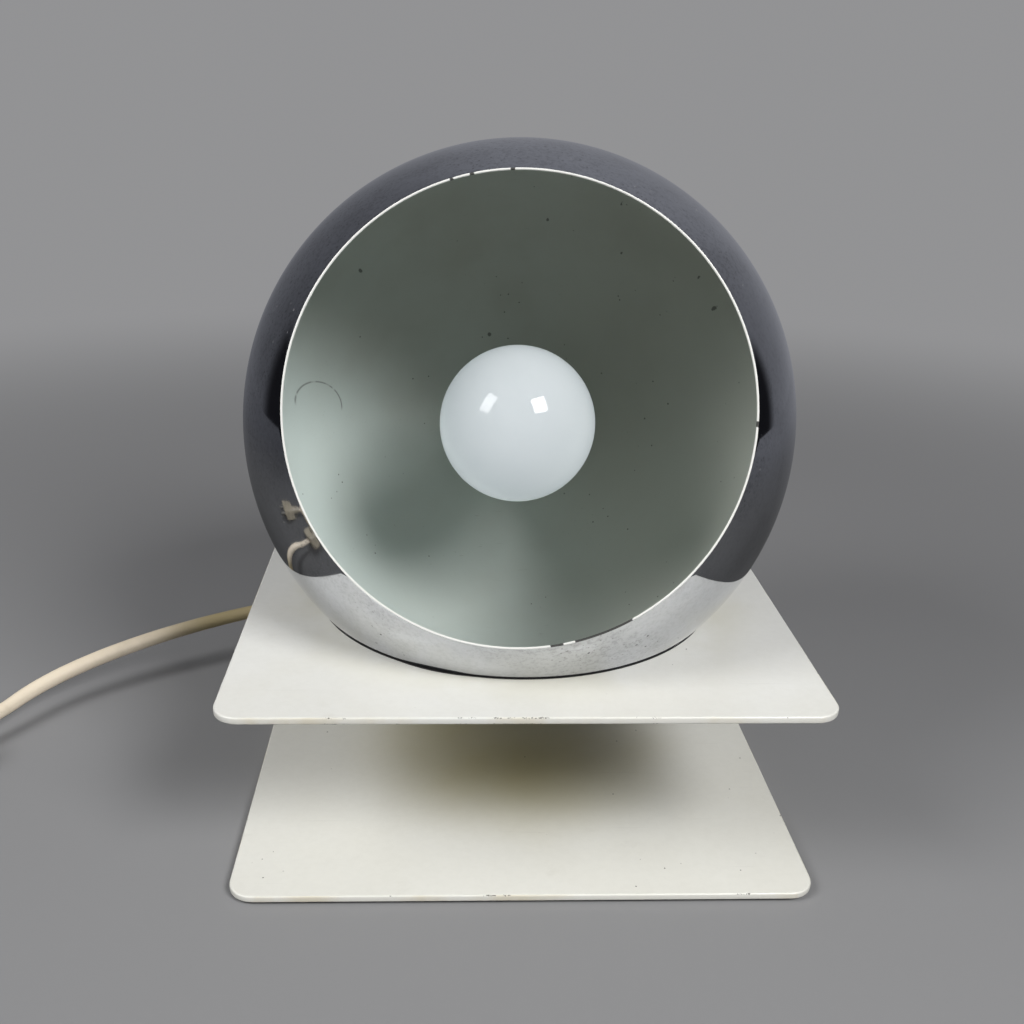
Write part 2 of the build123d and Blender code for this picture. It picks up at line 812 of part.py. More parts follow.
with BuildPart() as switch_base:
    with BuildSketch(switch_plane):
        RectangleRounded(switch_length, switch_width, switch_corner_radius)
    extrude(amount=cord_level)
    fillet(switch_base.edges().group_by(Axis.Z)[0], switch_edge_radius)
    with BuildSketch(switch_plane.offset(switch_wall)):
        Rectangle(switch_cavity_length, switch_cavity_width)
    extrude(amount=cord_level, mode=Mode.SUBTRACT)
    with BuildSketch(switch_cord_plane):
        Circle(cord_diameter / 2 + switch_grip_play)
    extrude(amount=switch_length, mode=Mode.SUBTRACT)
    with BuildSketch(switch_plane):
        with Locations(*switch_screw_places):
            Circle(switch_screw_head_diameter / 2 + screw_hole_play)
    extrude(amount=switch_head_top, mode=Mode.SUBTRACT)
    with BuildSketch(switch_plane):
        with Locations(*switch_screw_places):
            Circle(switch_hole_radius)
    extrude(amount=cord_level, mode=Mode.SUBTRACT)
switch_base.part.label = "switch_base"
export_step(switch_base.part, "parts/switch_base.step")

# The cover has the rocker's window and two blind holes for its pivot pins
pivot_height = switch_height - rocker_pivot_drop
pivot_center = switch_plane.origin + Vector(0, 0, pivot_height)
pin_reach = switch_cavity_width / 2 + rocker_pin_bite
screw_thread_top = cord_level + switch_screw_bite
with BuildPart() as switch_cover:
    with BuildSketch(switch_plane.offset(cord_level)):
        RectangleRounded(switch_length, switch_width, switch_corner_radius)
    extrude(amount=switch_height - cord_level)
    fillet(switch_cover.edges().group_by(Axis.Z)[-1], switch_edge_radius)
    with BuildSketch(switch_plane.offset(cord_level)):
        Rectangle(switch_cavity_length, switch_cavity_width)
    extrude(amount=switch_height - cord_level - switch_wall, mode=Mode.SUBTRACT)
    with BuildSketch(switch_plane.offset(cord_level)):
        Rectangle(rocker_length + 2 * rocker_window_play, rocker_width + 2 * rocker_window_play)
    extrude(amount=switch_height, mode=Mode.SUBTRACT)
    with BuildSketch(switch_cord_plane):
        Circle(cord_diameter / 2 + switch_grip_play)
    extrude(amount=switch_length, mode=Mode.SUBTRACT)
    with BuildSketch(Plane(origin=pivot_center, x_dir=switch_run, z_dir=switch_plane.y_dir)):
        Circle(rocker_pin_diameter / 2 + rocker_pin_play)
    extrude(amount=pin_reach + holder_play, both=True, mode=Mode.SUBTRACT)
    with BuildSketch(switch_plane.offset(cord_level)):
        with Locations(*switch_screw_places):
            Circle(switch_hole_radius)
    extrude(amount=screw_thread_top - cord_level + holder_play, mode=Mode.SUBTRACT)
switch_cover.part.label = "switch_cover"
export_step(switch_cover.part, "parts/switch_cover.step")

# Two screws from below hold the housing together
with BuildPart() as switch_screws:
    with BuildSketch(switch_plane.offset(switch_screw_recess)):
        with Locations(*switch_screw_places):
            Circle(switch_screw_head_diameter / 2)
    extrude(amount=switch_screw_head_height)
    with BuildSketch(switch_plane.offset(switch_head_top)):
        with Locations(*switch_screw_places):
            Circle(switch_screw_diameter / 2)
    extrude(amount=screw_thread_top - switch_head_top)
switch_screws.part.label = "switch_screws"
export_step(switch_screws.part, "parts/switch_screws.step")

# Two contact angles on the base's floor, one under each end of the rocker
with BuildPart() as switch_contacts:
    for side in (-1, 1):
        with BuildSketch(switch_plane.offset(switch_wall)):
            with Locations((side * switch_contact_spacing / 2, 0)):
                Rectangle(switch_contact_length, switch_contact_width)
        extrude(amount=switch_contact_thickness)
        with BuildSketch(switch_plane.offset(switch_wall)):
            inner_edge = (switch_contact_spacing - switch_contact_length + switch_contact_thickness) / 2
            with Locations((side * inner_edge, 0)):
                Rectangle(switch_contact_thickness, switch_contact_width)
        extrude(amount=switch_contact_height)
switch_contacts.part.label = "switch_contacts"
export_step(switch_contacts.part, "parts/switch_contacts.step")

# Rocker, at rest tipped towards the lamp by half its swing
rocker_tip = radians(rocker_swing / 2)
rocker_along = switch_run * cos(rocker_tip) + Vector(0, 0, sin(rocker_tip))
rocker_plane = Plane(origin=pivot_center, x_dir=rocker_along, z_dir=switch_plane.y_dir * -1)
with BuildPart() as switch_rocker:
    with BuildSketch(rocker_plane):
        with BuildLine():
            Polyline(
                (-rocker_length / 2, -rocker_skirt),
                (rocker_length / 2, -rocker_skirt),
                (rocker_top_length / 2, rocker_crest),
                (0, rocker_dip),
                (-rocker_top_length / 2, rocker_crest),
                close=True,
            )
        make_face()
    extrude(amount=rocker_width / 2, both=True)
    with BuildSketch(rocker_plane):
        with Locations((0, -rocker_skirt)):
            Rectangle(rocker_keel_length, rocker_keel_depth, align=(Align.CENTER, Align.MAX))
    extrude(amount=rocker_keel_width / 2, both=True)
    with BuildSketch(rocker_plane):
        Circle(rocker_pin_diameter / 2)
    extrude(amount=pin_reach, both=True)
switch_rocker.part.label = "switch_rocker"
export_step(switch_rocker.part, "parts/switch_rocker.step")

# Cord from the switch down to the coil
coil_low = cord_diameter / 2 + tie_thickness + tie_play / 2
link_start = switch_start + switch_run * (switch_length - switch_grip)
coil_run = Vector(1, 0, 0).rotate(Axis.Z, coil_heading)
link_bend = Vector(-287.5, -92.0, coil_low)
coil_entry = link_bend + coil_run * coil_straight
link_corner = switch_start + switch_run * (switch_length + switch_straight)
link_route = [link_start, link_corner, link_bend, coil_entry]
cord_link = cord_tube(link_route, "cord_link")
cord_link.part.label = "cord_link"
export_step(cord_link.part, "parts/cord_link.step")

# Put-away coil: winds in on the lower layer, climbs as it reverses, and winds out on the upper layer
coil_turns = 2 * coil_turns_each_way + 0.5
coil_start_angle = radians(coil_heading + 90)
coil_start = coil_entry + coil_run * cord_diameter
coil_center = coil_start - Vector(cos(coil_start_angle), sin(coil_start_angle)) * coil_outer_radius
coil_inner_radius = coil_outer_radius - coil_pitch * coil_turns_each_way


def coil_point(turn):
    """A point of the coil's middle line after a number of clockwise turns."""
    back = min(max(turn - coil_turns_each_way, 0), 0.5)
    rise = (2 * back) ** 2 * (3 - 4 * back)
    if turn <= coil_turns_each_way:
        radius = coil_outer_radius - coil_pitch * turn
    elif turn < coil_turns_each_way + 0.5:
        radius = coil_inner_radius - coil_pitch * (back - 2 * back**2)
    else:
        radius = coil_inner_radius + coil_pitch * (turn - coil_turns_each_way - 0.5)
    angle = coil_start_angle - 2 * pi * turn
    place = Vector(cos(angle), sin(angle)) * radius
    return Vector(coil_center.X + place.X, coil_center.Y + place.Y, coil_low + coil_layer * rise)


def coil_heading_at(turn):
    """The coil's direction there; the two ends are level and square to the radius."""
    if turn in (0, coil_turns):
        angle = coil_start_angle - 2 * pi * turn
        return Vector(sin(angle), -cos(angle))
    return (coil_point(turn + 0.001) - coil_point(turn - 0.001)).normalized()


with BuildPart() as cord_coil:
    with BuildLine() as coil_line:
        Line(coil_entry, coil_start)
        for step in range(ceil(4 * coil_turns)):
            here, there = coil_point(step / 4), coil_point((step + 1) / 4)
            leaving, arriving = coil_heading_at(step / 4), coil_heading_at((step + 1) / 4)
            chord = there - here
            both = leaving + arriving
            bend = 2 * (1 - leaving.dot(arriving))
            reach = (sqrt(chord.dot(both) ** 2 + bend * chord.dot(chord)) - chord.dot(both)) / bend
            first_corner = here + leaving * reach
            second_corner = there - arriving * reach
            joint = (first_corner + second_corner) * 0.5
            TangentArc(here, joint, tangent=leaving)
            TangentArc(joint, there, tangent=second_corner - first_corner)
        coil_exit = there + arriving * cord_diameter
        Line(there, coil_exit)
    with BuildSketch(Plane(origin=coil_entry, z_dir=coil_run)):
        Circle(cord_diameter / 2)
    sweep()
cord_coil.part.label = "cord_coil"
export_step(cord_coil.part, "parts/cord_coil.step")

# Least gap between turns, on points all along the coil that are half a turn or more apart
check_count = int(coil_check_steps * coil_turns) + 1
turn_points = [coil_point(i / coil_check_steps) for i in range(check_count)]
least_gap = min(
    (a - b).length - cord_diameter
    for i, a in enumerate(turn_points)
    for b in turn_points[i + coil_check_steps // 2:]
)
coil_length = coil_line.wire().length
coil_volume = pi * cord_diameter**2 / 4 * coil_length
print("coil length", round(coil_length, 1), "least gap", round(least_gap, 2))
print("coil volume over section times length", round(cord_coil.part.volume / coil_volume, 4))

# Tie round the coil's turns
tie_angle = radians(tie_turn)
tie_radius = (coil_outer_radius + coil_inner_radius) / 2
tie_plane = Plane(
    origin=(
        coil_center.X + tie_radius * cos(tie_angle),
        coil_center.Y + tie_radius * sin(tie_angle),
        coil_low + coil_layer / 2,
    ),
    x_dir=(cos(tie_angle), sin(tie_angle), 0),
    z_dir=(sin(tie_angle), -cos(tie_angle), 0),
)
tie_inner_length = coil_outer_radius - coil_inner_radius + coil_pitch + cord_diameter + 2 * tie_play
tie_inner_height = coil_layer + cord_diameter + tie_play
with BuildPart() as coil_tie:
    with BuildSketch(tie_plane):
        RectangleRounded(
            tie_inner_length + 2 * tie_thickness, tie_inner_height + 2 * tie_thickness, cord_diameter / 2
        )
        RectangleRounded(
            tie_inner_length, tie_inner_height, cord_diameter / 2 - tie_thickness, mode=Mode.SUBTRACT
        )
    extrude(amount=tie_width / 2, both=True)
coil_tie.part.label = "coil_tie"
export_step(coil_tie.part, "parts/coil_tie.step")

# Cord's tail from the coil to the plug
tail_end = Vector(-317.0, 2.5, plug_height)
plug_run = Vector(1, 0, 0).rotate(Axis.Z, plug_heading)
tail_corner = coil_exit + arriving * (plug_straight - cord_diameter / 2)
tail_route = [coil_exit, tail_corner, tail_end - plug_run * plug_straight, tail_end]
cord_tail = cord_tube(tail_route, "cord_tail")
cord_tail.part.label = "cord_tail"
export_step(cord_tail.part, "parts/cord_tail.step")

# Plug body: a moulded relief that swells into a flat two-pin body
plug_plane = Plane(origin=tail_end, x_dir=plug_run, z_dir=(0, 0, 1))
plug_axis = Axis(tail_end, plug_run)
plug_front = plug_relief_length + plug_length
pin_starts = [
    plug_plane.from_local_coords((plug_front - plug_pin_root, side * plug_pin_spacing / 2, 0))
    for side in (-1, 1)
]
with BuildPart() as plug_body:
    with BuildSketch(plug_plane.offset(-plug_height)):
        with BuildLine():
            Polyline(
                (plug_relief_length, -plug_nose_width / 2),
                (plug_relief_length + plug_shoulder, -plug_width / 2),
                (plug_front, -plug_width / 2),
                (plug_front, plug_width / 2),
                (plug_relief_length + plug_shoulder, plug_width / 2),
                (plug_relief_length, plug_nose_width / 2),
                close=True,
            )
        make_face()
    extrude(amount=2 * plug_height)
    fillet(plug_body.edges(), plug_edge_radius)
    with BuildSketch(plug_plane):
        with BuildLine():
            Polyline(
                (0, 0),
                (0, relief_tip_radius),
                (plug_relief_length, relief_root_diameter / 2),
                (plug_relief_length + plug_shoulder / 2, relief_root_diameter / 2),
                (plug_relief_length + plug_shoulder / 2, 0),
                close=True,
            )
        make_face()
    revolve(axis=plug_axis)
    for pin_start in pin_starts:
        with BuildSketch(Plane(origin=pin_start, z_dir=plug_run)):
            Circle(plug_pin_diameter / 2 + plug_pin_play)
        extrude(amount=plug_pin_root, mode=Mode.SUBTRACT)
plug_body.part.label = "plug_body"
export_step(plug_body.part, "parts/plug_body.step")

# Two round pins
with BuildPart() as plug_pins:
    for pin_start in pin_starts:
        with BuildSketch(Plane(origin=pin_start, z_dir=plug_run)):
            Circle(plug_pin_diameter / 2)
        extrude(amount=plug_pin_root + plug_pin_length)
    fillet(plug_pins.edges().group_by(Axis(tail_end, plug_run))[-1], plug_pin_diameter / 4)
plug_pins.part.label = "plug_pins"
export_step(plug_pins.part, "parts/plug_pins.step")
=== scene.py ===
"""Table lamp: a chromed ball shade in the upper of two square cream plates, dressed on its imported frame."""
import json
import logging
import math
from dataclasses import dataclass, field
from enum import Enum
from typing import Any, Callable, Iterable, Sequence

import bmesh
import bpy
from mathutils import Matrix, Vector


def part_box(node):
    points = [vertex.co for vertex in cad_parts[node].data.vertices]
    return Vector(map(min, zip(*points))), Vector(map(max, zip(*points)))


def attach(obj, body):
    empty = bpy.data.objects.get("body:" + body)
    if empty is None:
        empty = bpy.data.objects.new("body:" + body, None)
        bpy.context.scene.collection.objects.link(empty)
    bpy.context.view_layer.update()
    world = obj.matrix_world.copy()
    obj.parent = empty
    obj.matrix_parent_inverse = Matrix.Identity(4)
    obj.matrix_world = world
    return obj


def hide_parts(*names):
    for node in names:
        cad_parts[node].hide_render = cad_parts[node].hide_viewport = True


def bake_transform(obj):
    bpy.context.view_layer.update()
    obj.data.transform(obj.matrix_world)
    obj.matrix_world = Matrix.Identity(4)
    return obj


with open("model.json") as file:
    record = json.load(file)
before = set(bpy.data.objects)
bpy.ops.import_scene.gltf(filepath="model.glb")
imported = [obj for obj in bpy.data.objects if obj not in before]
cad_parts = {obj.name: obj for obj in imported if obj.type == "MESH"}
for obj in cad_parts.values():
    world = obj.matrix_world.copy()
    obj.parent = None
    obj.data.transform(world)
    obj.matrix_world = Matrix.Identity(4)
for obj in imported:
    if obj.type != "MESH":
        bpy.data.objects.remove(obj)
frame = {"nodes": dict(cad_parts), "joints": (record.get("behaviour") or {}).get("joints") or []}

log = logging.getLogger("lamp")
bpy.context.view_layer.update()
IMAGE = 1024
MM = 0.001
TINY = 1e-9
FULL_TURN = 2 * math.pi
QUARTER_TURN = math.pi / 2

Point = Sequence[float]
Colour = tuple[float, float, float]
Ripple = Callable[[float, float, float], float]

# Sizes that more than one sub-assembly shares
BALL_RADIUS = 0.1
MOUTH_RADIUS = 0.0745
MOUTH_PLACE = math.sqrt(BALL_RADIUS**2 - MOUTH_RADIUS**2)
GLAND_END = -0.128
TUBE_HOLE = 0.0052
CORD_BORE = 0.0029
RELIEF_TIP = 0.0043
THREAD_PITCH = 0.0036
GROOVE_STEPS = 48
ROUND_STEPS = 72
FINE_STEPS = 224

# What the chrome mirrors
WALL_LEFT: Colour = (0.118, 0.121, 0.135)
WALL_RIGHT: Colour = (0.235, 0.24, 0.265)
SCREEN: Colour = (0.010, 0.010, 0.012)


class Part(str, Enum):
    """The bodies that pieces ride on."""

    STAND = "stand"
    SEAT = "seat"
    BALL = "ball"
    BULB = "bulb"
    ROCKER = "rocker"


class Ray(str, Enum):
    """The kinds of light path that the floor and the world tell apart."""

    CAMERA = "Is Camera Ray"
    GLOSSY = "Is Glossy Ray"


class Wire:
    """A node's output with arithmetic: each operator adds the Math node that works it out."""

    def __init__(self, bench: "Bench", socket: bpy.types.NodeSocket) -> None:
        """Keep the socket and the bench that its nodes go on."""
        self.bench = bench
        self.socket = socket

    def _math(self, operation: str, first: Any, second: Any = None) -> "Wire":
        """Add a Math node, with one value or two."""
        values = {0: first} if second is None else {0: first, 1: second}
        return self.bench.node("ShaderNodeMath", {"operation": operation}, values)

    def __add__(self, other: Any) -> "Wire":
        """self + other."""
        return self._math("ADD", self, other)

    __radd__ = __add__

    def __sub__(self, other: Any) -> "Wire":
        """self - other."""
        return self._math("SUBTRACT", self, other)

    def __rsub__(self, other: Any) -> "Wire":
        """other - self."""
        return self._math("SUBTRACT", other, self)

    def __mul__(self, other: Any) -> "Wire":
        """self * other."""
        return self._math("MULTIPLY", self, other)

    __rmul__ = __mul__

    def __truediv__(self, other: Any) -> "Wire":
        """self / other."""
        return self._math("DIVIDE", self, other)

    def __rtruediv__(self, other: Any) -> "Wire":
        """other / self."""
        return self._math("DIVIDE", other, self)

    def __abs__(self) -> "Wire":
        """The absolute value."""
        return self._math("ABSOLUTE", self)

    def root(self) -> "Wire":
        """The square root."""
        return self._math("SQRT", self)

    def top(self, other: Any) -> "Wire":
        """The larger of self and other."""
        return self._math("MAXIMUM", self, other)

    def low(self, other: Any) -> "Wire":
        """The smaller of self and other."""
        return self._math("MINIMUM", self, other)

    def rise(self, start: float, end: float) -> "Wire":
        """A smooth step from 0 at start to 1 at end, which may be below start."""
        settings = {"interpolation_type": "SMOOTHSTEP"}
        return self.bench.node("ShaderNodeMapRange", settings, {0: self, 1: start, 2: end, 3: 0.0, 4: 1.0})


class Bench:
    """A material's node tree, with one method that makes any node."""

    def __init__(self, tree: bpy.types.NodeTree) -> None:
        """Clear the tree and start on it.

        Args:
            tree: the tree of a material or of the world.
        """
        self.tree = tree
        self._place: Wire | None = None
        tree.nodes.clear()

    def node(self, kind: str, settings: dict | None = None, sockets: dict | None = None,
             out: Any = 0) -> Wire:
        """Make a node.

        Args:
            kind: the node's type.
            settings: its properties, set first.
            sockets: values or Wires for its inputs, by name or number.
            out: the output to return, by name or number.

        Returns:
            That output as a Wire.
        """
        made = self.tree.nodes.new(kind)
        for name, value in (settings or {}).items():
            setattr(made, name, value)
        for key, value in (sockets or {}).items():
            if isinstance(value, Wire):
                self.tree.links.new(value.socket, made.inputs[key])
            else:
                made.inputs[key].default_value = value
        return Wire(self, made.outputs[out] if len(made.outputs) else made.inputs[0])

    def place(self) -> Wire:
        """The point on the piece, in metres, in the lamp's own frame.

        Returns:
            The point, from one node that all share.
        """
        if self._place is None:
            self._place = self.node("ShaderNodeTexCoord", out="Object")
        return self._place

    def axes(self, place: Wire | None = None) -> tuple[Wire, Wire, Wire]:
        """The X, Y and Z of a point, by default the one on the piece."""
        made = self.node("ShaderNodeSeparateXYZ", sockets={0: place or self.place()}).socket.node
        return tuple(Wire(self, made.outputs[i]) for i in range(3))

    def radius(self) -> Wire:
        """How far the point is from the upright axis through the plates' middle."""
        x, y, _ = self.axes()
        return (x * x + y * y).root()

    def noise(self, scale: float, detail: float = 3.0, place: Wire | None = None,
              rough: float = 0.55) -> Wire:
        """Cloudy values about 0.5, with a number of clouds to the metre."""
        sockets = {"Vector": place or self.place(), "Scale": scale, "Detail": detail, "Roughness": rough}
        return self.node("ShaderNodeTexNoise", sockets=sockets)

    def dots(self, scale: float) -> Wire:
        """Distance to scattered points, so many to the metre, for specks and pits."""
        return self.node("ShaderNodeTexVoronoi", sockets={"Vector": self.place(), "Scale": scale})

    def stretched(self, scale: Point, turn: Point = (0, 0, 0)) -> Wire:
        """The piece's coordinates drawn out along its axes, for brush lines and scratches."""
        sockets = {"Vector": self.place(), "Rotation": turn, "Scale": scale}
        return self.node("ShaderNodeMapping", sockets=sockets)

    def ray(self, kind: Ray) -> Wire:
        """1 where the light path is of a kind."""
        return self.node("ShaderNodeLightPath", out=kind.value)

    def mix(self, share: Any, first: Any, second: Any) -> Wire:
        """Blend two colours.

        Args:
            share: how much of the second, from 0 to 1.
            first: a colour or a Wire.
            second: a colour or a Wire.

        Returns:
            The blended colour.
        """
        pair = [c if isinstance(c, Wire) else (*c, 1.0) for c in (first, second)]
        settings = {"data_type": "RGBA", "blend_type": "MIX"}
        return self.node("ShaderNodeMix", settings, {0: share, 6: pair[0], 7: pair[1]}, out=2)

    def bump(self, height: Wire, depth: float) -> Wire:
        """A Normal from a height that stands for depth in metres."""
        return self.node("ShaderNodeBump", sockets={"Height": height, "Distance": depth, "Strength": 1.0})

    def surface(self, **sockets: Any) -> None:
        """Close the material with a Principled shader.

        Args:
            sockets: its values or Wires, named with underscores for spaces.
        """
        named = {name.replace("_", " "): value for name, value in sockets.items()}
        for name, value in named.items():
            if name.endswith("Color") and isinstance(value, tuple):
                named[name] = (*value, 1.0)
        shader = self.node("ShaderNodeBsdfPrincipled", sockets=named)
        self.node("ShaderNodeOutputMaterial", sockets={"Surface": shader})


class Finish:
    """A finish that makes its material once."""

    name: str
    _made: dict[str, bpy.types.Material] = {}

    def material(self) -> bpy.types.Material:
        """Make the finish's material at its first use.

        Returns:
            The material, the same one each time.
        """
        if self.name not in Finish._made:
            made = bpy.data.materials.new(self.name)
            made.use_nodes = True
            self.paint(Bench(made.node_tree))
            Finish._made[self.name] = made
        return Finish._made[self.name]

    def paint(self, bench: Bench) -> None:
        """Lay the finish's nodes on a bench; each finish has its own."""
        raise NotImplementedError


@dataclass(frozen=True)
class CreamLacquer(Finish):
    """Old glossy cream lacquer on steel plate, chipped here and there along the plate's arrises."""

    name: str = "cream_lacquer"
    fresh: Colour = (0.79, 0.787, 0.745)
    aged: Colour = (0.745, 0.73, 0.655)
    grain: Colour = (0.55, 0.54, 0.48)
    grime: Colour = (0.45, 0.42, 0.35)
    rubbed: Colour = (0.36, 0.35, 0.32)
    steel: Colour = (0.085, 0.075, 0.062)
    stain: Colour = (0.66, 0.585, 0.42)
    # painted shade: a dark brownish cream for the lower plate's middle, under the upper plate
    under_plate_shade: Colour = (0.56, 0.505, 0.29)
    # painted shade: a yellowed cream for the upper plate next to the ball
    beside_ball_shade: Colour = (0.66, 0.64, 0.52)
    half_side: float = 0.1
    half_height: float = 0.00125
    front: tuple[float, float] = (0.097, 0.098)
    skin_depth: float = 0.00004
    middle: float | None = None
    shaded: bool = False
    shade_by_ball: bool = False
    front_chips: tuple[tuple[float, float], ...] = ()

    def paint(self, bench: Bench) -> None:
        """Cream with faint yellowing, specks, fine rubs and chipped arrises, and painted shade where it is
        asked for.

        Args:
            bench: the material's tree.
        """
        yellowing = bench.noise(13, 4).rise(0.38, 0.72)
        colour = bench.mix(yellowing * 0.55, self.fresh, self.aged)
        grain = bench.noise(420, 3).rise(0.35, 0.68)
        colour = bench.mix(grain * 0.07, colour, self.grain)
        grime = bench.noise(85, 5).rise(0.62, 0.80)
        colour = bench.mix(grime * 0.14, colour, self.grime)
        specks = bench.dots(230).rise(0.075, 0.045) * bench.noise(30, 1).rise(0.62, 0.65)
        colour = bench.mix(specks * 0.6, colour, self.steel)
        rub = bench.noise(1, 6, bench.stretched((22, 700, 700), (0, 0, 0.5))).rise(0.66, 0.74)
        colour = bench.mix(rub * 0.10, colour, self.rubbed)
        worn = specks
        # painted shade: the lower plate's middle, under the upper plate, turns dark brownish cream
        if self.shaded:
            under = bench.radius().rise(0.080, 0.02)
            colour = bench.mix(under * (0.75 + yellowing * 0.25), colour, self.under_plate_shade)
        # painted shade: noisy patches of yellowed cream on the upper plate next to the ball
        if self.shade_by_ball:
            beside = bench.radius().rise(0.100, 0.078) * bench.noise(22, 3).rise(0.40, 0.62)
            colour = bench.mix(beside * 0.45, colour, self.beside_ball_shade)
        if self.middle is not None:
            colour = bench.mix(self._stained(bench), colour, self.stain)
            worn = specks.top(self._chipped(bench))
            colour = bench.mix(worn, colour, self.steel)
        rough = 0.26 + bench.noise(60, 4) * 0.14 + worn * 0.3
        height = bench.noise(480, 2) * 0.7 + bench.noise(1700, 2) * 0.25 - worn * 2.0
        bench.surface(Base_Color=colour, Roughness=rough, Coat_Weight=0.25, Coat_Roughness=0.14,
                      Normal=bench.bump(height, self.skin_depth))

    def _stained(self, bench: Bench) -> Wire:
        """Find where the plate's narrow edge face has gone beige.

        Args:
            bench: the material's tree.

        Returns:
            The stain's share.
        """
        x, y, _ = bench.axes()
        outer = (self.half_side - abs(x).top(abs(y))).rise(0.0005, 0.0002)
        return outer * bench.noise(34, 4).rise(0.45, 0.66) * 0.55

    def _chipped(self, bench: Bench) -> Wire:
        """Find where the lacquer is gone: thin ragged places on the arrises, more of them at the front.

        Args:
            bench: the material's tree.

        Returns:
            1 where steel shows.
        """
        x, y, z = bench.axes()
        inward = self.half_side - abs(x).top(abs(y))
        below = self.half_height - abs(z - self.middle)
        ragged = bench.noise(1900, 3) * 0.0011
        arris = (inward + below + ragged).rise(0.00098, 0.00082)
        sparse = bench.noise(42, 3).rise(0.635, 0.66).top(bench.noise(260, 2).rise(0.67, 0.69))
        broken = bench.noise(300, 2).rise(0.44, 0.52)
        for place, reach in self.front_chips:
            near = abs(x - place).rise(reach, reach * 0.8) * (0.0 - y).rise(*self.front)
            sparse = sparse.top(near * broken)
        return arris * sparse


@dataclass(frozen=True)
class BallChrome(Finish):
    """Polished chrome with pits, rust pricks and wiped smears."""

    name: str = "ball_chrome"
    plate: Colour = (0.61, 0.625, 0.66)
    dull: Colour = (0.33, 0.335, 0.35)
    pit: Colour = (0.10, 0.09, 0.085)
    ripple_depth: float = 0.00004

    def paint(self, bench: Bench) -> None:
        """Mirror with slight haze, and pits that gather in patches.

        Args:
            bench: the material's tree.
        """
        smear = bench.noise(1, 5, bench.stretched((60, 60, 17), (0.3, 0.2, 0.0))).rise(0.42, 0.72)
        patches = bench.noise(15, 3).rise(0.42, 0.62)
        pits = bench.dots(520).rise(0.24, 0.12) * patches
        pricks = bench.dots(170).rise(0.10, 0.05) * bench.noise(30, 2).rise(0.50, 0.60)
        marks = pits * 0.45 + pricks * 0.8
        mottle = bench.noise(620, 5, rough=0.75).rise(0.44, 0.66) * (0.45 + patches * 0.55)
        cloud = bench.noise(60, 5).rise(0.42, 0.78)
        dulled = (mottle * 0.52 + cloud * 0.28 + smear * 0.16).low(1.0)
        colour = bench.mix(dulled, self.plate, self.dull)
        colour = bench.mix(marks.low(1.0), colour, self.pit)
        rough = 0.03 + smear * 0.05 + mottle * 0.07 + marks * 0.30
        ripple = bench.noise(24, 2) - marks * 0.25
        bench.surface(Base_Color=colour, Metallic=1.0 - pricks * 0.6, Roughness=rough,
                      Normal=bench.bump(ripple, self.ripple_depth))


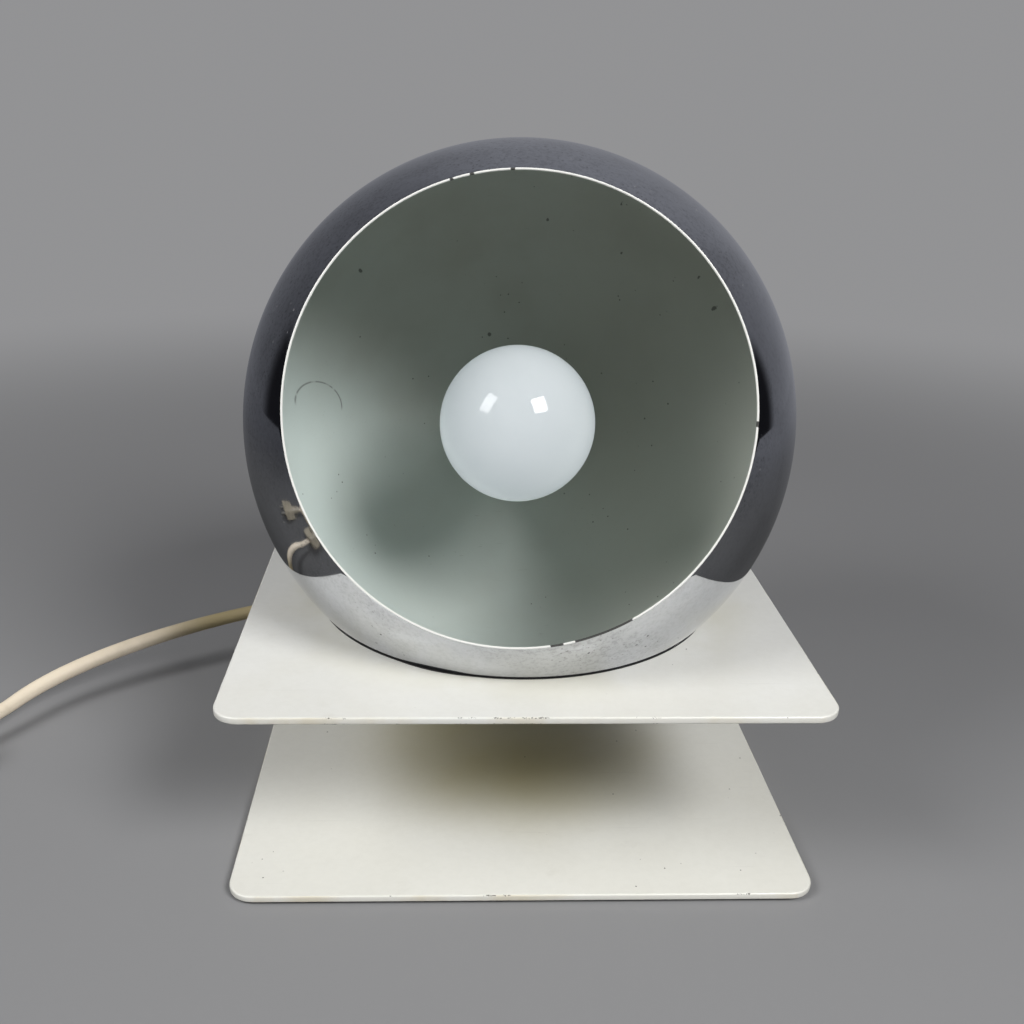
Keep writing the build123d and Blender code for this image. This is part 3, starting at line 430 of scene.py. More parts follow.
@dataclass(frozen=True)
class ShadeLacquer(Finish):
    """Pale mint-white lacquer inside the ball, scratched, with a chipped white edge, and painted shade in
    brown and olive, the brown partly heat browning.
    """

    name: str = "shade_lacquer"
    pale: Colour = (0.62, 0.695, 0.668)
    tired: Colour = (0.565, 0.62, 0.585)
    # painted shade: an olive for the right side inside, which the lamps barely reach
    dulled: Colour = (0.54, 0.545, 0.48)
    # painted shade, partly heat browning: the brown for the top and back inside
    browning_and_shade: Colour = (0.365, 0.367, 0.322)
    scratch: Colour = (0.22, 0.23, 0.20)
    edge: Colour = (0.80, 0.80, 0.76)
    dark: Colour = (0.05, 0.05, 0.045)
    edge_depth: float = 0.0007
    skin_depth: float = 0.00003
    chip_angles: tuple[tuple[float, float], ...] = (
        (107.6, 0.45), (102.6, 0.5), (92.8, 0.5), (-1.7, 0.7), (-67.0, 7.5), (-79.0, 1.6))
    spots: tuple[tuple[float, float, float], ...] = (
        (-13.4, 45.4, 0.9), (77.7, 50.3, 0.8), (-65.3, 63.3, 0.7), (10.4, 86.8, 0.5), (41.4, 74.6, 0.5),
        (38.4, 88.0, 0.4), (65.7, 14.9, 0.4), (56.8, 8.9, 0.4), (70.5, 61.7, 0.5))
    curl: tuple[float, float, float, float] = (-83.4, 9.6, 7.6, 9.4)

    def paint(self, bench: Bench) -> None:
        """Pale green white with a white edge round the mouth; painted shade makes it olive at the right and
        brown at the top and back, the brown partly heat browning, and painted light lifts it at the lower
        left.

        Args:
            bench: the material's tree.
        """
        aim, side = lamp_aim(), lamp_side()
        along, across = self._reach(bench, aim), self._reach(bench, side)
        above = self._reach(bench, side.cross(aim) * -1)
        lip = MOUTH_PLACE - self.edge_depth
        rim = along.rise(lip - 0.0003, lip + 0.0002)
        cloud = bench.noise(15, 4).rise(0.35, 0.75)
        colour = bench.mix(cloud * 0.6, self.pale, self.tired)
        # painted shade: duller olive towards the right side
        colour = bench.mix(across.rise(-0.01, 0.06) * 0.7, colour, self.dulled)
        # painted shade, partly heat browning: browner towards the top and back
        heat_and_shade = above.rise(-0.02, 0.06) * 0.60 + along.rise(0.03, -0.06) * 0.40
        # painted light: the brown is lifted at the lower left, where the lamp's light falls in
        painted_light_patch = across.rise(-0.04, -0.085) * above.rise(0.05, 0.0)
        heat_and_shade = heat_and_shade.low(1.0) * (1.0 - painted_light_patch * 0.8)
        colour = bench.mix(heat_and_shade * (0.75 + cloud * 0.25), colour, self.browning_and_shade)
        speck = bench.dots(190).rise(0.080, 0.05) * bench.noise(36, 2).rise(0.54, 0.58)
        colour = bench.mix(self._lines(bench) * 0.34, colour, self.scratch)
        behind = along.rise(0.0, -0.01)
        colour = bench.mix(self._curl(bench, across, above) * behind * 0.55, colour, self.dark)
        speck = speck.top(self._spots(bench, across, above) * behind)
        colour = bench.mix(speck * 0.8, colour, self.dark)
        colour = bench.mix(rim, colour, self.edge)
        chip = self._chips(bench, across, above) * along.rise(lip - 0.0004, lip + 0.0003)
        colour = bench.mix(chip, colour, self.dark)
        rough = 0.34 + bench.noise(45, 3) * 0.12
        height = bench.noise(480, 2) * 0.6 - speck * 1.5 - chip * 2.0
        bench.surface(Base_Color=colour, Roughness=rough, Coat_Weight=0.12, Coat_Roughness=0.25,
                      Normal=bench.bump(height, self.skin_depth))

    @staticmethod
    def _lines(bench: Bench) -> Wire:
        """Lay fine scratches in two directions, in patches.

        Args:
            bench: the material's tree.

        Returns:
            1 on a scratch.
        """
        first = bench.noise(1, 7, bench.stretched((40, 1400, 1400), (0.3, 0.9, 0.4))).rise(0.66, 0.72)
        second = bench.noise(1, 7, bench.stretched((1300, 50, 1300), (0.2, 0.5, 1.1))).rise(0.68, 0.735)
        return first.top(second) * bench.noise(22, 2).rise(0.44, 0.58)

    def _chips(self, bench: Bench, across: Wire, above: Wire) -> Wire:
        """Find where the white edge is chipped, by angle about the lamp's axis.

        Args:
            bench: the material's tree.
            across: how far to the right of the axis.
            above: how far above it.

        Returns:
            1 in a chip.
        """
        angle = bench.node("ShaderNodeMath", {"operation": "ARCTAN2"}, {0: above, 1: across})
        ragged = bench.noise(1500, 3) * 0.012
        found = bench.noise(70, 2).rise(0.73, 0.74)
        for place, reach in self.chip_angles:
            half = math.radians(reach)
            away = abs(angle - math.radians(place)) + ragged
            found = found.top(away.rise(half + 0.008, half + 0.004))
        return found

    def _spots(self, bench: Bench, across: Wire, above: Wire) -> Wire:
        """Set single dark knocks, each at millimetres across and above the axis and with its own size.

        Args:
            bench: the material's tree.
            across: how far to the right of the axis.
            above: how far above it.

        Returns:
            1 in a knock.
        """
        ragged = bench.noise(900, 3) * MM
        found: Any = 0.0
        for x, y, reach in self.spots:
            aside, higher = across - x * MM, above - y * MM
            away = (aside * aside + higher * higher).root() + ragged
            found = away.rise((reach + 0.6) * MM, (reach + 0.3) * MM).top(found)
        return found

    def _curl(self, bench: Bench, across: Wire, above: Wire) -> Wire:
        """Draw a thin scratch, the upper half of an oval.

        Args:
            bench: the material's tree.
            across: how far to the right of the axis.
            above: how far above it.

        Returns:
            1 on the scratch.
        """
        x, y, width, height = (v * MM for v in self.curl)
        aside, higher = (across - x) / width, (above - y) / height
        line = abs((aside * aside + higher * higher).root() - 1.0).rise(0.045, 0.015)
        return line * higher.rise(-0.2, 0.1) * bench.noise(150, 2).rise(0.30, 0.45)

    @staticmethod
    def _reach(bench: Bench, way: Vector) -> Wire:
        """Measure how far a point lies from the ball's centre in a direction.

        Args:
            bench: the material's tree.
            way: the direction.

        Returns:
            The distance in metres.
        """
        center = ball_center()
        x, y, z = bench.axes()
        return (x - center.x) * way.x + (y - center.y) * way.y + (z - center.z) * way.z


@dataclass(frozen=True)
class OpalGlass(Finish):
    """Glossy opal white glass of the bulb, which light soaks through."""

    name: str = "opal_glass"
    white: Colour = (0.29, 0.297, 0.30)
    clouded: Colour = (0.27, 0.28, 0.285)
    dust: Colour = (0.45, 0.43, 0.40)
    # painted light: the unlit bulb's faint glow, which evens out its shading
    glow: Colour = (0.84, 0.93, 0.97)
    painted_glow_strength: float = 0.37
    soak: float = 0.004
    gloss: float = 0.28
    skin_depth: float = 0.00004

    def paint(self, bench: Bench) -> None:
        """White glass with the faintest unevenness under its gloss, and a faint painted glow.

        Args:
            bench: the material's tree.
        """
        cloud = bench.noise(60, 3)
        colour = bench.mix(cloud.rise(0.3, 0.8) * 0.5, self.white, self.clouded)
        dust = bench.dots(320).rise(0.06, 0.03) * bench.noise(50, 2).rise(0.60, 0.64)
        colour = bench.mix(dust * 0.35, colour, self.dust)
        rough = 0.012 + bench.noise(110, 3).rise(0.5, 0.85) * 0.015
        # the emission is painted light on an unlit bulb
        bench.surface(Base_Color=colour, Roughness=rough, Specular_IOR_Level=self.gloss, Coat_Weight=0.1,
                      Coat_Roughness=0.01, Subsurface_Weight=1.0, Subsurface_Radius=(1.0, 1.0, 1.0),
                      Subsurface_Scale=self.soak, Emission_Color=self.glow,
                      Emission_Strength=self.painted_glow_strength,
                      Normal=bench.bump(bench.noise(40, 2), self.skin_depth))


@dataclass(frozen=True)
class CordSheath(Finish):
    """Aged beige cord sheath, a little soiled, with painted shade in brown near the lamp."""

    name: str = "cord_sheath"
    beige: Colour = (0.86, 0.75, 0.59)
    # painted shade: the brown near the lamp, where the cord comes out from under the plates
    browning_and_shade: Colour = (0.42, 0.345, 0.19)
    soiled: Colour = (0.34, 0.27, 0.16)
    spot: Colour = (0.20, 0.15, 0.10)
    shade_reach: tuple[float, float] = (-0.170, -0.135)
    skin_depth: float = 0.00008

    def paint(self, bench: Bench) -> None:
        """Beige with cloudy soil, and a skin that is slightly uneven.

        Args:
            bench: the material's tree.
        """
        x, _, _ = bench.axes()
        # painted shade: darker and browner towards the lamp
        colour = bench.mix(x.rise(*self.shade_reach), self.beige, self.browning_and_shade)
        soil = bench.noise(38, 5).rise(0.45, 0.78)
        colour = bench.mix(soil * 0.4, colour, self.soiled)
        spots = bench.dots(360).rise(0.09, 0.05) * bench.noise(70, 2).rise(0.55, 0.62)
        colour = bench.mix(spots * 0.6, colour, self.spot)
        rough = 0.44 + bench.noise(120, 3) * 0.16
        height = bench.noise(700, 3) * 0.7 + bench.noise(160, 2) * 0.6
        bench.surface(Base_Color=colour, Roughness=rough, Normal=bench.bump(height, self.skin_depth))


@dataclass(frozen=True)
class Moulded(Finish):
    """Moulded plastic, rubber or glazed ceramic, told apart by colour, gloss and grain."""

    name: str
    colour: Colour
    shade: Colour
    rough: float = 0.4
    grain: float = 900.0
    depth: float = 0.00004
    coat: float = 0.0
    dust: Colour = (0.40, 0.38, 0.35)

    def paint(self, bench: Bench) -> None:
        """A colour with cloudy shade, dust in places and a fine grain.

        Args:
            bench: the material's tree.
        """
        cloud = bench.noise(55, 4).rise(0.35, 0.75)
        colour = bench.mix(cloud * 0.6, self.colour, self.shade)
        dust = bench.noise(260, 5).rise(0.62, 0.80)
        colour = bench.mix(dust * 0.12, colour, self.dust)
        rough = self.rough + bench.noise(130, 3) * 0.14 - 0.07
        height = bench.noise(self.grain, 3)
        bench.surface(Base_Color=colour, Roughness=rough, Coat_Weight=self.coat, Coat_Roughness=0.1,
                      Normal=bench.bump(height, self.depth))


@dataclass(frozen=True)
class PlatedMetal(Finish):
    """Plated or plain small metalwork: zinc, brass, nickel or thin aluminium."""

    name: str
    colour: Colour
    tarnish: Colour
    rough: float = 0.28
    prick: Colour = (0.10, 0.08, 0.06)
    mark_depth: float = 0.00002

    def paint(self, bench: Bench) -> None:
        """Metal with tarnish in clouds and fine turning marks.

        Args:
            bench: the material's tree.
        """
        cloud = bench.noise(120, 5).rise(0.40, 0.72)
        colour = bench.mix(cloud * 0.65, self.colour, self.tarnish)
        pricks = bench.dots(900).rise(0.12, 0.05) * bench.noise(160, 2).rise(0.55, 0.62)
        colour = bench.mix(pricks * 0.6, colour, self.prick)
        marks = bench.noise(1, 3, bench.stretched((300, 300, 4200)))
        rough = self.rough + marks * 0.12 + cloud * 0.10
        bench.surface(Base_Color=colour, Metallic=1.0, Roughness=rough,
                      Normal=bench.bump(marks, self.mark_depth))


@dataclass(frozen=True)
class DarkFelt(Finish):
    """Short dark felt under the lower plate."""

    name: str = "dark_felt"
    deep: Colour = (0.020, 0.020, 0.020)
    fibre: Colour = (0.065, 0.062, 0.058)
    lint: Colour = (0.16, 0.15, 0.14)
    nap: float = 0.0003

    def paint(self, bench: Bench) -> None:
        """Dark fibres in all directions.

        Args:
            bench: the material's tree.
        """
        fibre = bench.noise(2600, 4)
        colour = bench.mix(fibre.rise(0.3, 0.7), self.deep, self.fibre)
        lint = bench.noise(420, 4).rise(0.66, 0.74)
        colour = bench.mix(lint * 0.5, colour, self.lint)
        bench.surface(Base_Color=colour, Roughness=0.93, Normal=bench.bump(fibre, self.nap))


@dataclass(frozen=True)
class ClearGlass(Finish):
    """Clear glass of the bulb's stem."""

    name: str = "clear_glass"
    tint: Colour = (0.93, 0.95, 0.95)

    def paint(self, bench: Bench) -> None:
        """Clear glass with a trace of haze."""
        haze = bench.noise(200, 3).rise(0.4, 0.8) * 0.10
        bench.surface(Base_Color=self.tint, Roughness=0.03 + haze, Transmission_Weight=1.0, IOR=1.5)


def studio_wall(bench: Bench, x: Wire) -> Wire:
    """The wall that the chrome mirrors: dark at the left, pale at the right, dimmer far to both sides."""
    colour = bench.mix(x.rise(-0.5, 0.1), WALL_LEFT, WALL_RIGHT)
    return bench.mix(abs(x).rise(0.4, 0.9) * 0.4, colour, SCREEN)


@dataclass(frozen=True)
class StudioPaper(Finish):
    """Plain pale grey floor."""

    name: str = "studio_paper"
    grey: Colour = (0.25, 0.25, 0.254)
    mirrored: Colour = (0.10, 0.10, 0.10)
    far: Colour = (0.29, 0.29, 0.297)
    fade: tuple[float, float] = (0.28, 1.10)
    mirror_fade: tuple[float, float] = (0.18, 0.90)

    def paint(self, bench: Bench) -> None:
        """Flat grey near the lamp that runs into the background far away, in reflections too.

        Args:
            bench: the material's tree.
        """
        x, y, _ = bench.axes()
        reach = (x * x + y * y).root()
        seen, glossy = bench.ray(Ray.CAMERA), bench.ray(Ray.GLOSSY)
        colour = bench.mix(glossy, self.grey, self.mirrored)
        paper = bench.node("ShaderNodeBsdfPrincipled", sockets={"Base Color": colour, "Roughness": 0.8})
        colour = bench.mix(glossy, self.far, studio_wall(bench, x / reach))
        glow = bench.node("ShaderNodeEmission", sockets={"Color": colour, "Strength": 1.0})
        share = reach.rise(*self.fade) * seen + reach.rise(*self.mirror_fade) * glossy
        both = bench.node("ShaderNodeMixShader", sockets={0: share, 1: paper, 2: glow})
        bench.node("ShaderNodeOutputMaterial", sockets={"Surface": both})


CREAM_TOP = CreamLacquer("cream_lacquer_top", middle=0.07125, shade_by_ball=True,
                         front_chips=((-0.061, 0.004), (-0.0085, 0.016), (0.040, 0.002), (-0.040, 0.002)))
CREAM_BASE = CreamLacquer("cream_lacquer_base", fresh=(0.79, 0.783, 0.725), middle=0.00225, shaded=True,
                          front_chips=((-0.010, 0.006), (0.075, 0.003)))
CREAM_PLAIN = CreamLacquer("cream_lacquer_upright")
CHROME = BallChrome()
INSIDE = ShadeLacquer()
OPAL = OpalGlass()
SHEATH = CordSheath()
FELT = DarkFelt()
STEM_GLASS = ClearGlass()
CREAM_PLASTIC = Moulded("cream_plastic", (0.68, 0.61, 0.49), (0.58, 0.50, 0.38), 0.45)
BEIGE_PLASTIC = Moulded("beige_plastic", (0.46, 0.41, 0.31), (0.38, 0.33, 0.24),
                        0.30, 700.0, 0.00003, 0.2)
DARK_PLASTIC = Moulded("dark_plastic", (0.055, 0.040, 0.032), (0.030, 0.022, 0.018),
                       0.28, 700.0, 0.00003, 0.2)
BLACK_GLASS = Moulded("black_insulator", (0.02, 0.02, 0.022), (0.035, 0.03, 0.03),
                      0.15, 500.0, 0.00002, 0.5)
WHITE_HOLDER = Moulded("white_holder", (0.78, 0.78, 0.74), (0.70, 0.69, 0.63), 0.30, 600.0, 0.00003, 0.3)
CERAMIC = Moulded("ceramic", (0.82, 0.81, 0.76), (0.76, 0.74, 0.68), 0.22, 400.0, 0.00005, 0.6)
DARK_RUBBER = Moulded("dark_rubber", (0.030, 0.030, 0.030), (0.055, 0.052, 0.048), 0.62, 1500.0, 0.00006)
TIE_PLASTIC = Moulded("tie_plastic", (0.56, 0.48, 0.37), (0.47, 0.40, 0.30), 0.42)
CORE_WIRE = Moulded("core_insulation", (0.30, 0.16, 0.08), (0.22, 0.11, 0.05), 0.40)
ZINC = PlatedMetal("zinc_steel", (0.62, 0.63, 0.64), (0.42, 0.42, 0.40), 0.30)
BRASS = PlatedMetal("brass", (0.72, 0.53, 0.24), (0.42, 0.28, 0.12), 0.28)
NICKEL = PlatedMetal("pin_metal", (0.72, 0.69, 0.62), (0.50, 0.46, 0.38), 0.22)
BULB_METAL = PlatedMetal("bulb_metal", (0.70, 0.70, 0.69), (0.50, 0.49, 0.46), 0.26)


def joint(name: str) -> dict:
    """The frame's joint of that name."""
    return next(j for j in frame["joints"] if j["name"] == name)


def ball_center() -> Vector:
    """The ball's centre, where it tips."""
    return Vector(joint("ball_tilt")["pos_m"])


def lamp_aim() -> Vector:
    """The way the mouth looks, along which the bulb comes out."""
    return Vector(joint("bulb_out")["axis"]).normalized()


def lamp_side() -> Vector:
    """The level direction across the lamp's axis, to the lamp's right."""
    aim = lamp_aim()
    return Vector((-aim.y, aim.x, 0.0)).normalized()


def add_object(name: str, data: bpy.types.ID) -> bpy.types.Object:
    """Make an object and put it in the scene.

    Args:
        name: its name.
        data: its mesh, curve, camera or light.

    Returns:
        The object.
    """
    made = bpy.data.objects.new(name, data)
    bpy.context.scene.collection.objects.link(made)
    return made


def mesh_data(name: str, mesh: bmesh.types.BMesh) -> bpy.types.Mesh:
    """Turn a working mesh into mesh data.

    Args:
        name: the data's name.
        mesh: the working mesh; it is used up.

    Returns:
        The data.
    """
    data = bpy.data.meshes.new(name)
    mesh.to_mesh(data)
    mesh.free()
    return data


def plain_mesh(made: bpy.types.Object) -> bpy.types.Mesh:
    """An object's final mesh, with its modifiers or its curve worked out."""
    graph = bpy.context.evaluated_depsgraph_get()
    return bpy.data.meshes.new_from_object(made.evaluated_get(graph))


def around(steps: int) -> list[float]:
    """The angles of so many equal steps in a full turn."""
    return [FULL_TURN * i / steps for i in range(steps)]


def looped(items: Sequence[Any]) -> Iterable[tuple[Any, Any]]:
    """Each item of a closed loop with the next one."""
    return zip(items, [*items[1:], items[0]])


def skin(mesh: bmesh.types.BMesh, rings: Sequence[list[bmesh.types.BMVert]]) -> None:
    """Join each closed ring of points to the next one with four-sided faces.

    Args:
        mesh: the mesh that they are in.
        rings: the rings, all with as many points.
    """
    for lower, upper in zip(rings, rings[1:]):
        for k in range(len(lower)):
            n = (k + 1) % len(lower)
            mesh.faces.new((lower[k], lower[n], upper[n], upper[k]))


def softened(corners: Sequence[Point], radius: float, steps: int = 3) -> list[Point]:
    """Round the corners of a closed profile.

    Args:
        corners: the profile's corners in order.
        radius: how far from a corner its rounding starts, at most.
        steps: how many stretches each rounding has.

    Returns:
        The rounded profile; corners on the axis stay sharp.
    """
    most = 0.45
    rounded = []
    for before, here, after in zip([corners[-1], *corners[:-1]], corners, [*corners[1:], corners[0]]):
        here_v, back, ahead = Vector(here), Vector(before) - Vector(here), Vector(after) - Vector(here)
        cut = min(radius, most * back.length, most * ahead.length)
        if here[0] < TINY or cut < TINY:
            rounded.append(tuple(here))
            continue
        start, end = here_v + back.normalized() * cut, here_v + ahead.normalized() * cut
        for i in range(steps + 1):
            t = i / steps
            rounded.append(tuple(start * (1 - t) ** 2 + here_v * 2 * t * (1 - t) + end * t**2))
    return rounded


def grooved(profile: Sequence[Point], depth: float, first: int) -> list[Point]:
    """Cut shallow rings into the tapered stretch of a cord relief's profile.

    Args:
        profile: the closed profile, with one long taper outside the cord's bore.
        depth: the rings' depth.
        first: the step of the taper after which they start.

    Returns:
        The profile with its rings.
    """
    long_taper, skin_left, last, pitch = 0.018, 0.001, 44, 4
    dense = []
    for before, after in looped(profile):
        tapered = abs(after[1] - before[1]) > long_taper and min(before[0], after[0]) > CORD_BORE + skin_left
        count = GROOVE_STEPS if tapered else 1
        for i in range(count):
            t = i / count
            cut = depth if first < i < last and (i // pitch) % 2 else 0.0
            radius = before[0] + (after[0] - before[0]) * t
            dense.append((radius - cut, before[1] + (after[1] - before[1]) * t))
    return dense


def arc(center: Point, radius: float, start: float, end: float, steps: int) -> list[Point]:
    """Points on a round stretch of a profile, from one angle to another."""
    angles = [start + (end - start) * i / steps for i in range(steps + 1)]
    return [(center[0] + radius * math.sin(a), center[1] + radius * math.cos(a)) for a in angles]


def thread_wave(along: float, angle: float) -> float:
    """The wave of a rolled screw thread at a place, from -1 to 1."""
    return math.cos(FULL_TURN * along / THREAD_PITCH - angle)


@dataclass(frozen=True)
class Spindle:
    """An axis in space that round pieces are turned on."""

    origin: Vector
    axis: Vector
    side: Vector

    def point(self, radius: float, along: float, angle: float) -> Vector:
        """The point at a radius, a distance along the axis and an angle about it."""
        turned = self.side * math.cos(angle) + self.axis.cross(self.side) * math.sin(angle)
        return self.origin + self.axis * along + turned * radius

    def turned(self, profile: Sequence[Point], steps: int = ROUND_STEPS,
               ripple: Ripple | None = None) -> bmesh.types.BMesh:
        """Turn a closed profile about the axis.

        Args:
            profile: radius and distance along the axis, in order round the profile.
            steps: how many steps a full turn has.
            ripple: the radius to use at a radius, a distance and an angle, where it changes.

        Returns:
            A closed mesh whose faces point outwards.
        """
        mesh = bmesh.new()
        rings = []
        for angle in around(steps):
            ring = []
            for radius, along in profile:
                reach = ripple(radius, along, angle) if ripple else radius
                ring.append(mesh.verts.new(self.point(reach, along, angle)))
            rings.append(ring)
        count = len(profile)
        for ring, after in looped(rings):
            for k in range(count):
                n = (k + 1) % count
                if max(profile[k][0], profile[n][0]) > TINY:
                    mesh.faces.new((ring[k], ring[n], after[n], after[k]))
        bmesh.ops.remove_doubles(mesh, verts=mesh.verts, dist=1e-7)
        bmesh.ops.recalc_face_normals(mesh, faces=mesh.faces)
        return mesh


ORIGIN = Vector((0, 0, 0))
SIDEWAYS = Vector((1, 0, 0))
UPWARD = Vector((0, 0, 1))
UPRIGHT = Spindle(ORIGIN, UPWARD, SIDEWAYS)


class Shop:
    """Puts finished meshes on the frame."""

    @staticmethod
    def piece(name: str, mesh: bmesh.types.BMesh, finish: Finish, body: Part, nodes: Iterable[str],
              crease: float = 35.0) -> bpy.types.Object:
        """Make a working mesh a piece of the lamp, as data_piece does; the mesh is used up."""
        return Shop.data_piece(name, mesh_data(name, mesh), finish, body, nodes, crease)

    @staticmethod
    def data_piece(name: str, data: bpy.types.Mesh, finish: Finish, body: Part, nodes: Iterable[str],
                   crease: float = 35.0) -> bpy.types.Object:
        """Make mesh data a piece of the lamp.

        Args:
            name: the piece's name.
            data: its mesh, in the lamp's frame.
            finish: its finish, used where the mesh has none yet.
            body: the body that it rides on.
            nodes: the CAD nodes that it stands for.
            crease: the angle in degrees past which an edge looks sharp.

        Returns:
            The piece.
        """
        data.shade_smooth()
        data.set_sharp_from_angle(angle=math.radians(crease))
        if not data.materials:
            data.materials.append(finish.material())
        made = add_object(name, data)
        Shop.seat(made, body, nodes)
        return made

    @staticmethod
    def seat(made: bpy.types.Object, body: Part, nodes: Iterable[str]) -> None:
        """Let a piece ride on a body and stand for CAD nodes.

        Args:
            made: the piece.
            body: the body.
            nodes: the nodes that it stands for, which are hidden.
        """
        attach(made, body.value)
        names = list(nodes)
        if names:
            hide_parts(*names)
        log.info("%s rides on %s and stands for %s", made.name, body.value, names)

    @staticmethod
    def refined(node: str, finish: Finish, body: Part, edge: float) -> bpy.types.Object:
        """Copy a CAD node with its edges rounded and its round faces smooth.

        Args:
            node: the node's name.
            finish: its finish.
            body: the body that it rides on.
            edge: how far the edges are rounded, in metres; 0 leaves them.

        Returns:
            The piece that replaces the node.
        """
        crease, same_point, flat = 28.0, 2e-6, 0.5
        mesh = bmesh.new()
        mesh.from_mesh(frame["nodes"][node].data)
        bmesh.ops.remove_doubles(mesh, verts=mesh.verts, dist=same_point)
        bmesh.ops.dissolve_limit(mesh, angle_limit=math.radians(flat), verts=mesh.verts, edges=mesh.edges)
        if edge:
            limit = math.radians(crease)
            sharp = [e for e in mesh.edges if len(e.link_faces) == 2 and e.calc_face_angle(0.0) > limit]
            bmesh.ops.bevel(mesh, geom=sharp, offset=edge, offset_type="OFFSET", segments=2, profile=0.5,
                            affect="EDGES", clamp_overlap=True)
        return Shop.piece(f"{node}_dressed", mesh, finish, body, [node], crease)

    @staticmethod
    def dress(node: str, finish: Finish) -> None:
        """Give a CAD node that stays its finish.

        Args:
            node: the node's name.
            finish: its finish.
        """
        data = frame["nodes"][node].data
        data.materials.clear()
        data.materials.append(finish.material())
        log.info("%s keeps its solid", node)


class Repeater:
    """A Geometry Nodes tree that sets copies of a pattern along a line."""

    INPUTS = {"Pattern": "Object", "Count": "Int", "Start": "Vector", "Step": "Vector", "Finish": "Material"}

    def __init__(self) -> None:
        """Build the tree with its named inputs."""
        self.tree = bpy.data.node_groups.new("repeat_along_line", "GeometryNodeTree")
        face = self.tree.interface
        face.new_socket("Geometry", in_out="OUTPUT", socket_type="NodeSocketGeometry")
        self.keys: dict[str, str] = {}
        for name, kind in self.INPUTS.items():
            made = face.new_socket(name, in_out="INPUT", socket_type=f"NodeSocket{kind}")
            self.keys[name] = made.identifier
        self._wire()

    def _wire(self) -> None:
        """Lay the nodes: a line of points, a copy on each, made real and given the finish."""
        new, link = self.tree.nodes.new, self.tree.links.new
        given, result = new("NodeGroupInput"), new("NodeGroupOutput")
        line, info = new("GeometryNodeMeshLine"), new("GeometryNodeObjectInfo")
        copies, real = new("GeometryNodeInstanceOnPoints"), new("GeometryNodeRealizeInstances")
        coat = new("GeometryNodeSetMaterial")
        line.mode = "OFFSET"
        for source, out, target, into in (
                (given, "Count", line, "Count"), (given, "Start", line, "Start Location"),
                (given, "Step", line, "Offset"), (given, "Pattern", info, "Object"),
                (line, "Mesh", copies, "Points"), (info, "Geometry", copies, "Instance"),
                (copies, "Instances", real, "Geometry"), (real, "Geometry", coat, "Geometry"),
                (given, "Finish", coat, "Material"), (coat, "Geometry", result, "Geometry")):
            link(source.outputs[out], target.inputs[into])

    def pair(self, name: str, pattern: bmesh.types.BMesh, start: Vector, step: Vector, finish: Finish,
             body: Part, nodes: Iterable[str]) -> bpy.types.Object:
        """Set two copies of a pattern along a line and make them one plain piece.

        Args:
            name: the piece's name.
            pattern: one copy about the origin; it is used up.
            start: where the first one goes.
            step: from the first copy to the second.
            finish: their finish.
            body: the body that they ride on.
            nodes: the CAD nodes that they stand for.

        Returns:
            The piece.
        """
        model = add_object(f"{name}_pattern", mesh_data(f"{name}_pattern", pattern))
        host = add_object(f"{name}_host", bpy.data.meshes.new(f"{name}_host"))
        modifier = host.modifiers.new("repeat", "NODES")
        modifier.node_group = self.tree
        values = {"Pattern": model, "Count": 2, "Start": tuple(start), "Step": tuple(step),
                  "Finish": finish.material()}
        for key, value in values.items():
            modifier[self.keys[key]] = value
        data = plain_mesh(host)
        data.name = name
        for made in (host, model):
            bpy.data.objects.remove(made)
        return Shop.data_piece(name, data, finish, body, nodes)


@dataclass
class Photographer:
    """The camera at the photograph's viewpoint."""

    place: Point = (-0.0257, -0.3946, 0.2495)
    yaw: float = 1.79
    pitch: float = 22.82
    roll: float = -0.82
    focal_pixels: float = 1092.0
    shift_pixels: Point = (32.55, 49.21)
    sensor: float = 36.0
    clip: Point = (0.01, 50.0)

    def build(self) -> None:
        """Make the camera and look through it."""
        yaw, pitch, roll = (math.radians(v) for v in (self.yaw, self.pitch, self.roll))
        level = math.cos(pitch)
        ahead = Vector((math.sin(yaw) * level, math.cos(yaw) * level, -math.sin(pitch)))
        right = Vector((math.cos(yaw), -math.sin(yaw), 0.0))
        down = ahead.cross(right)
        right, down = (right * math.cos(roll) + down * math.sin(roll),
                       down * math.cos(roll) - right * math.sin(roll))
        data = bpy.data.cameras.new("camera")
        data.sensor_width = self.sensor
        data.lens = self.focal_pixels * self.sensor / IMAGE
        data.shift_x, data.shift_y = (v / IMAGE for v in self.shift_pixels)
        data.clip_start, data.clip_end = self.clip
        made = add_object("camera", data)
        turn = Matrix((right, -down, -ahead)).transposed().to_4x4()
        made.matrix_world = Matrix.Translation(self.place) @ turn
        bpy.context.scene.camera = made


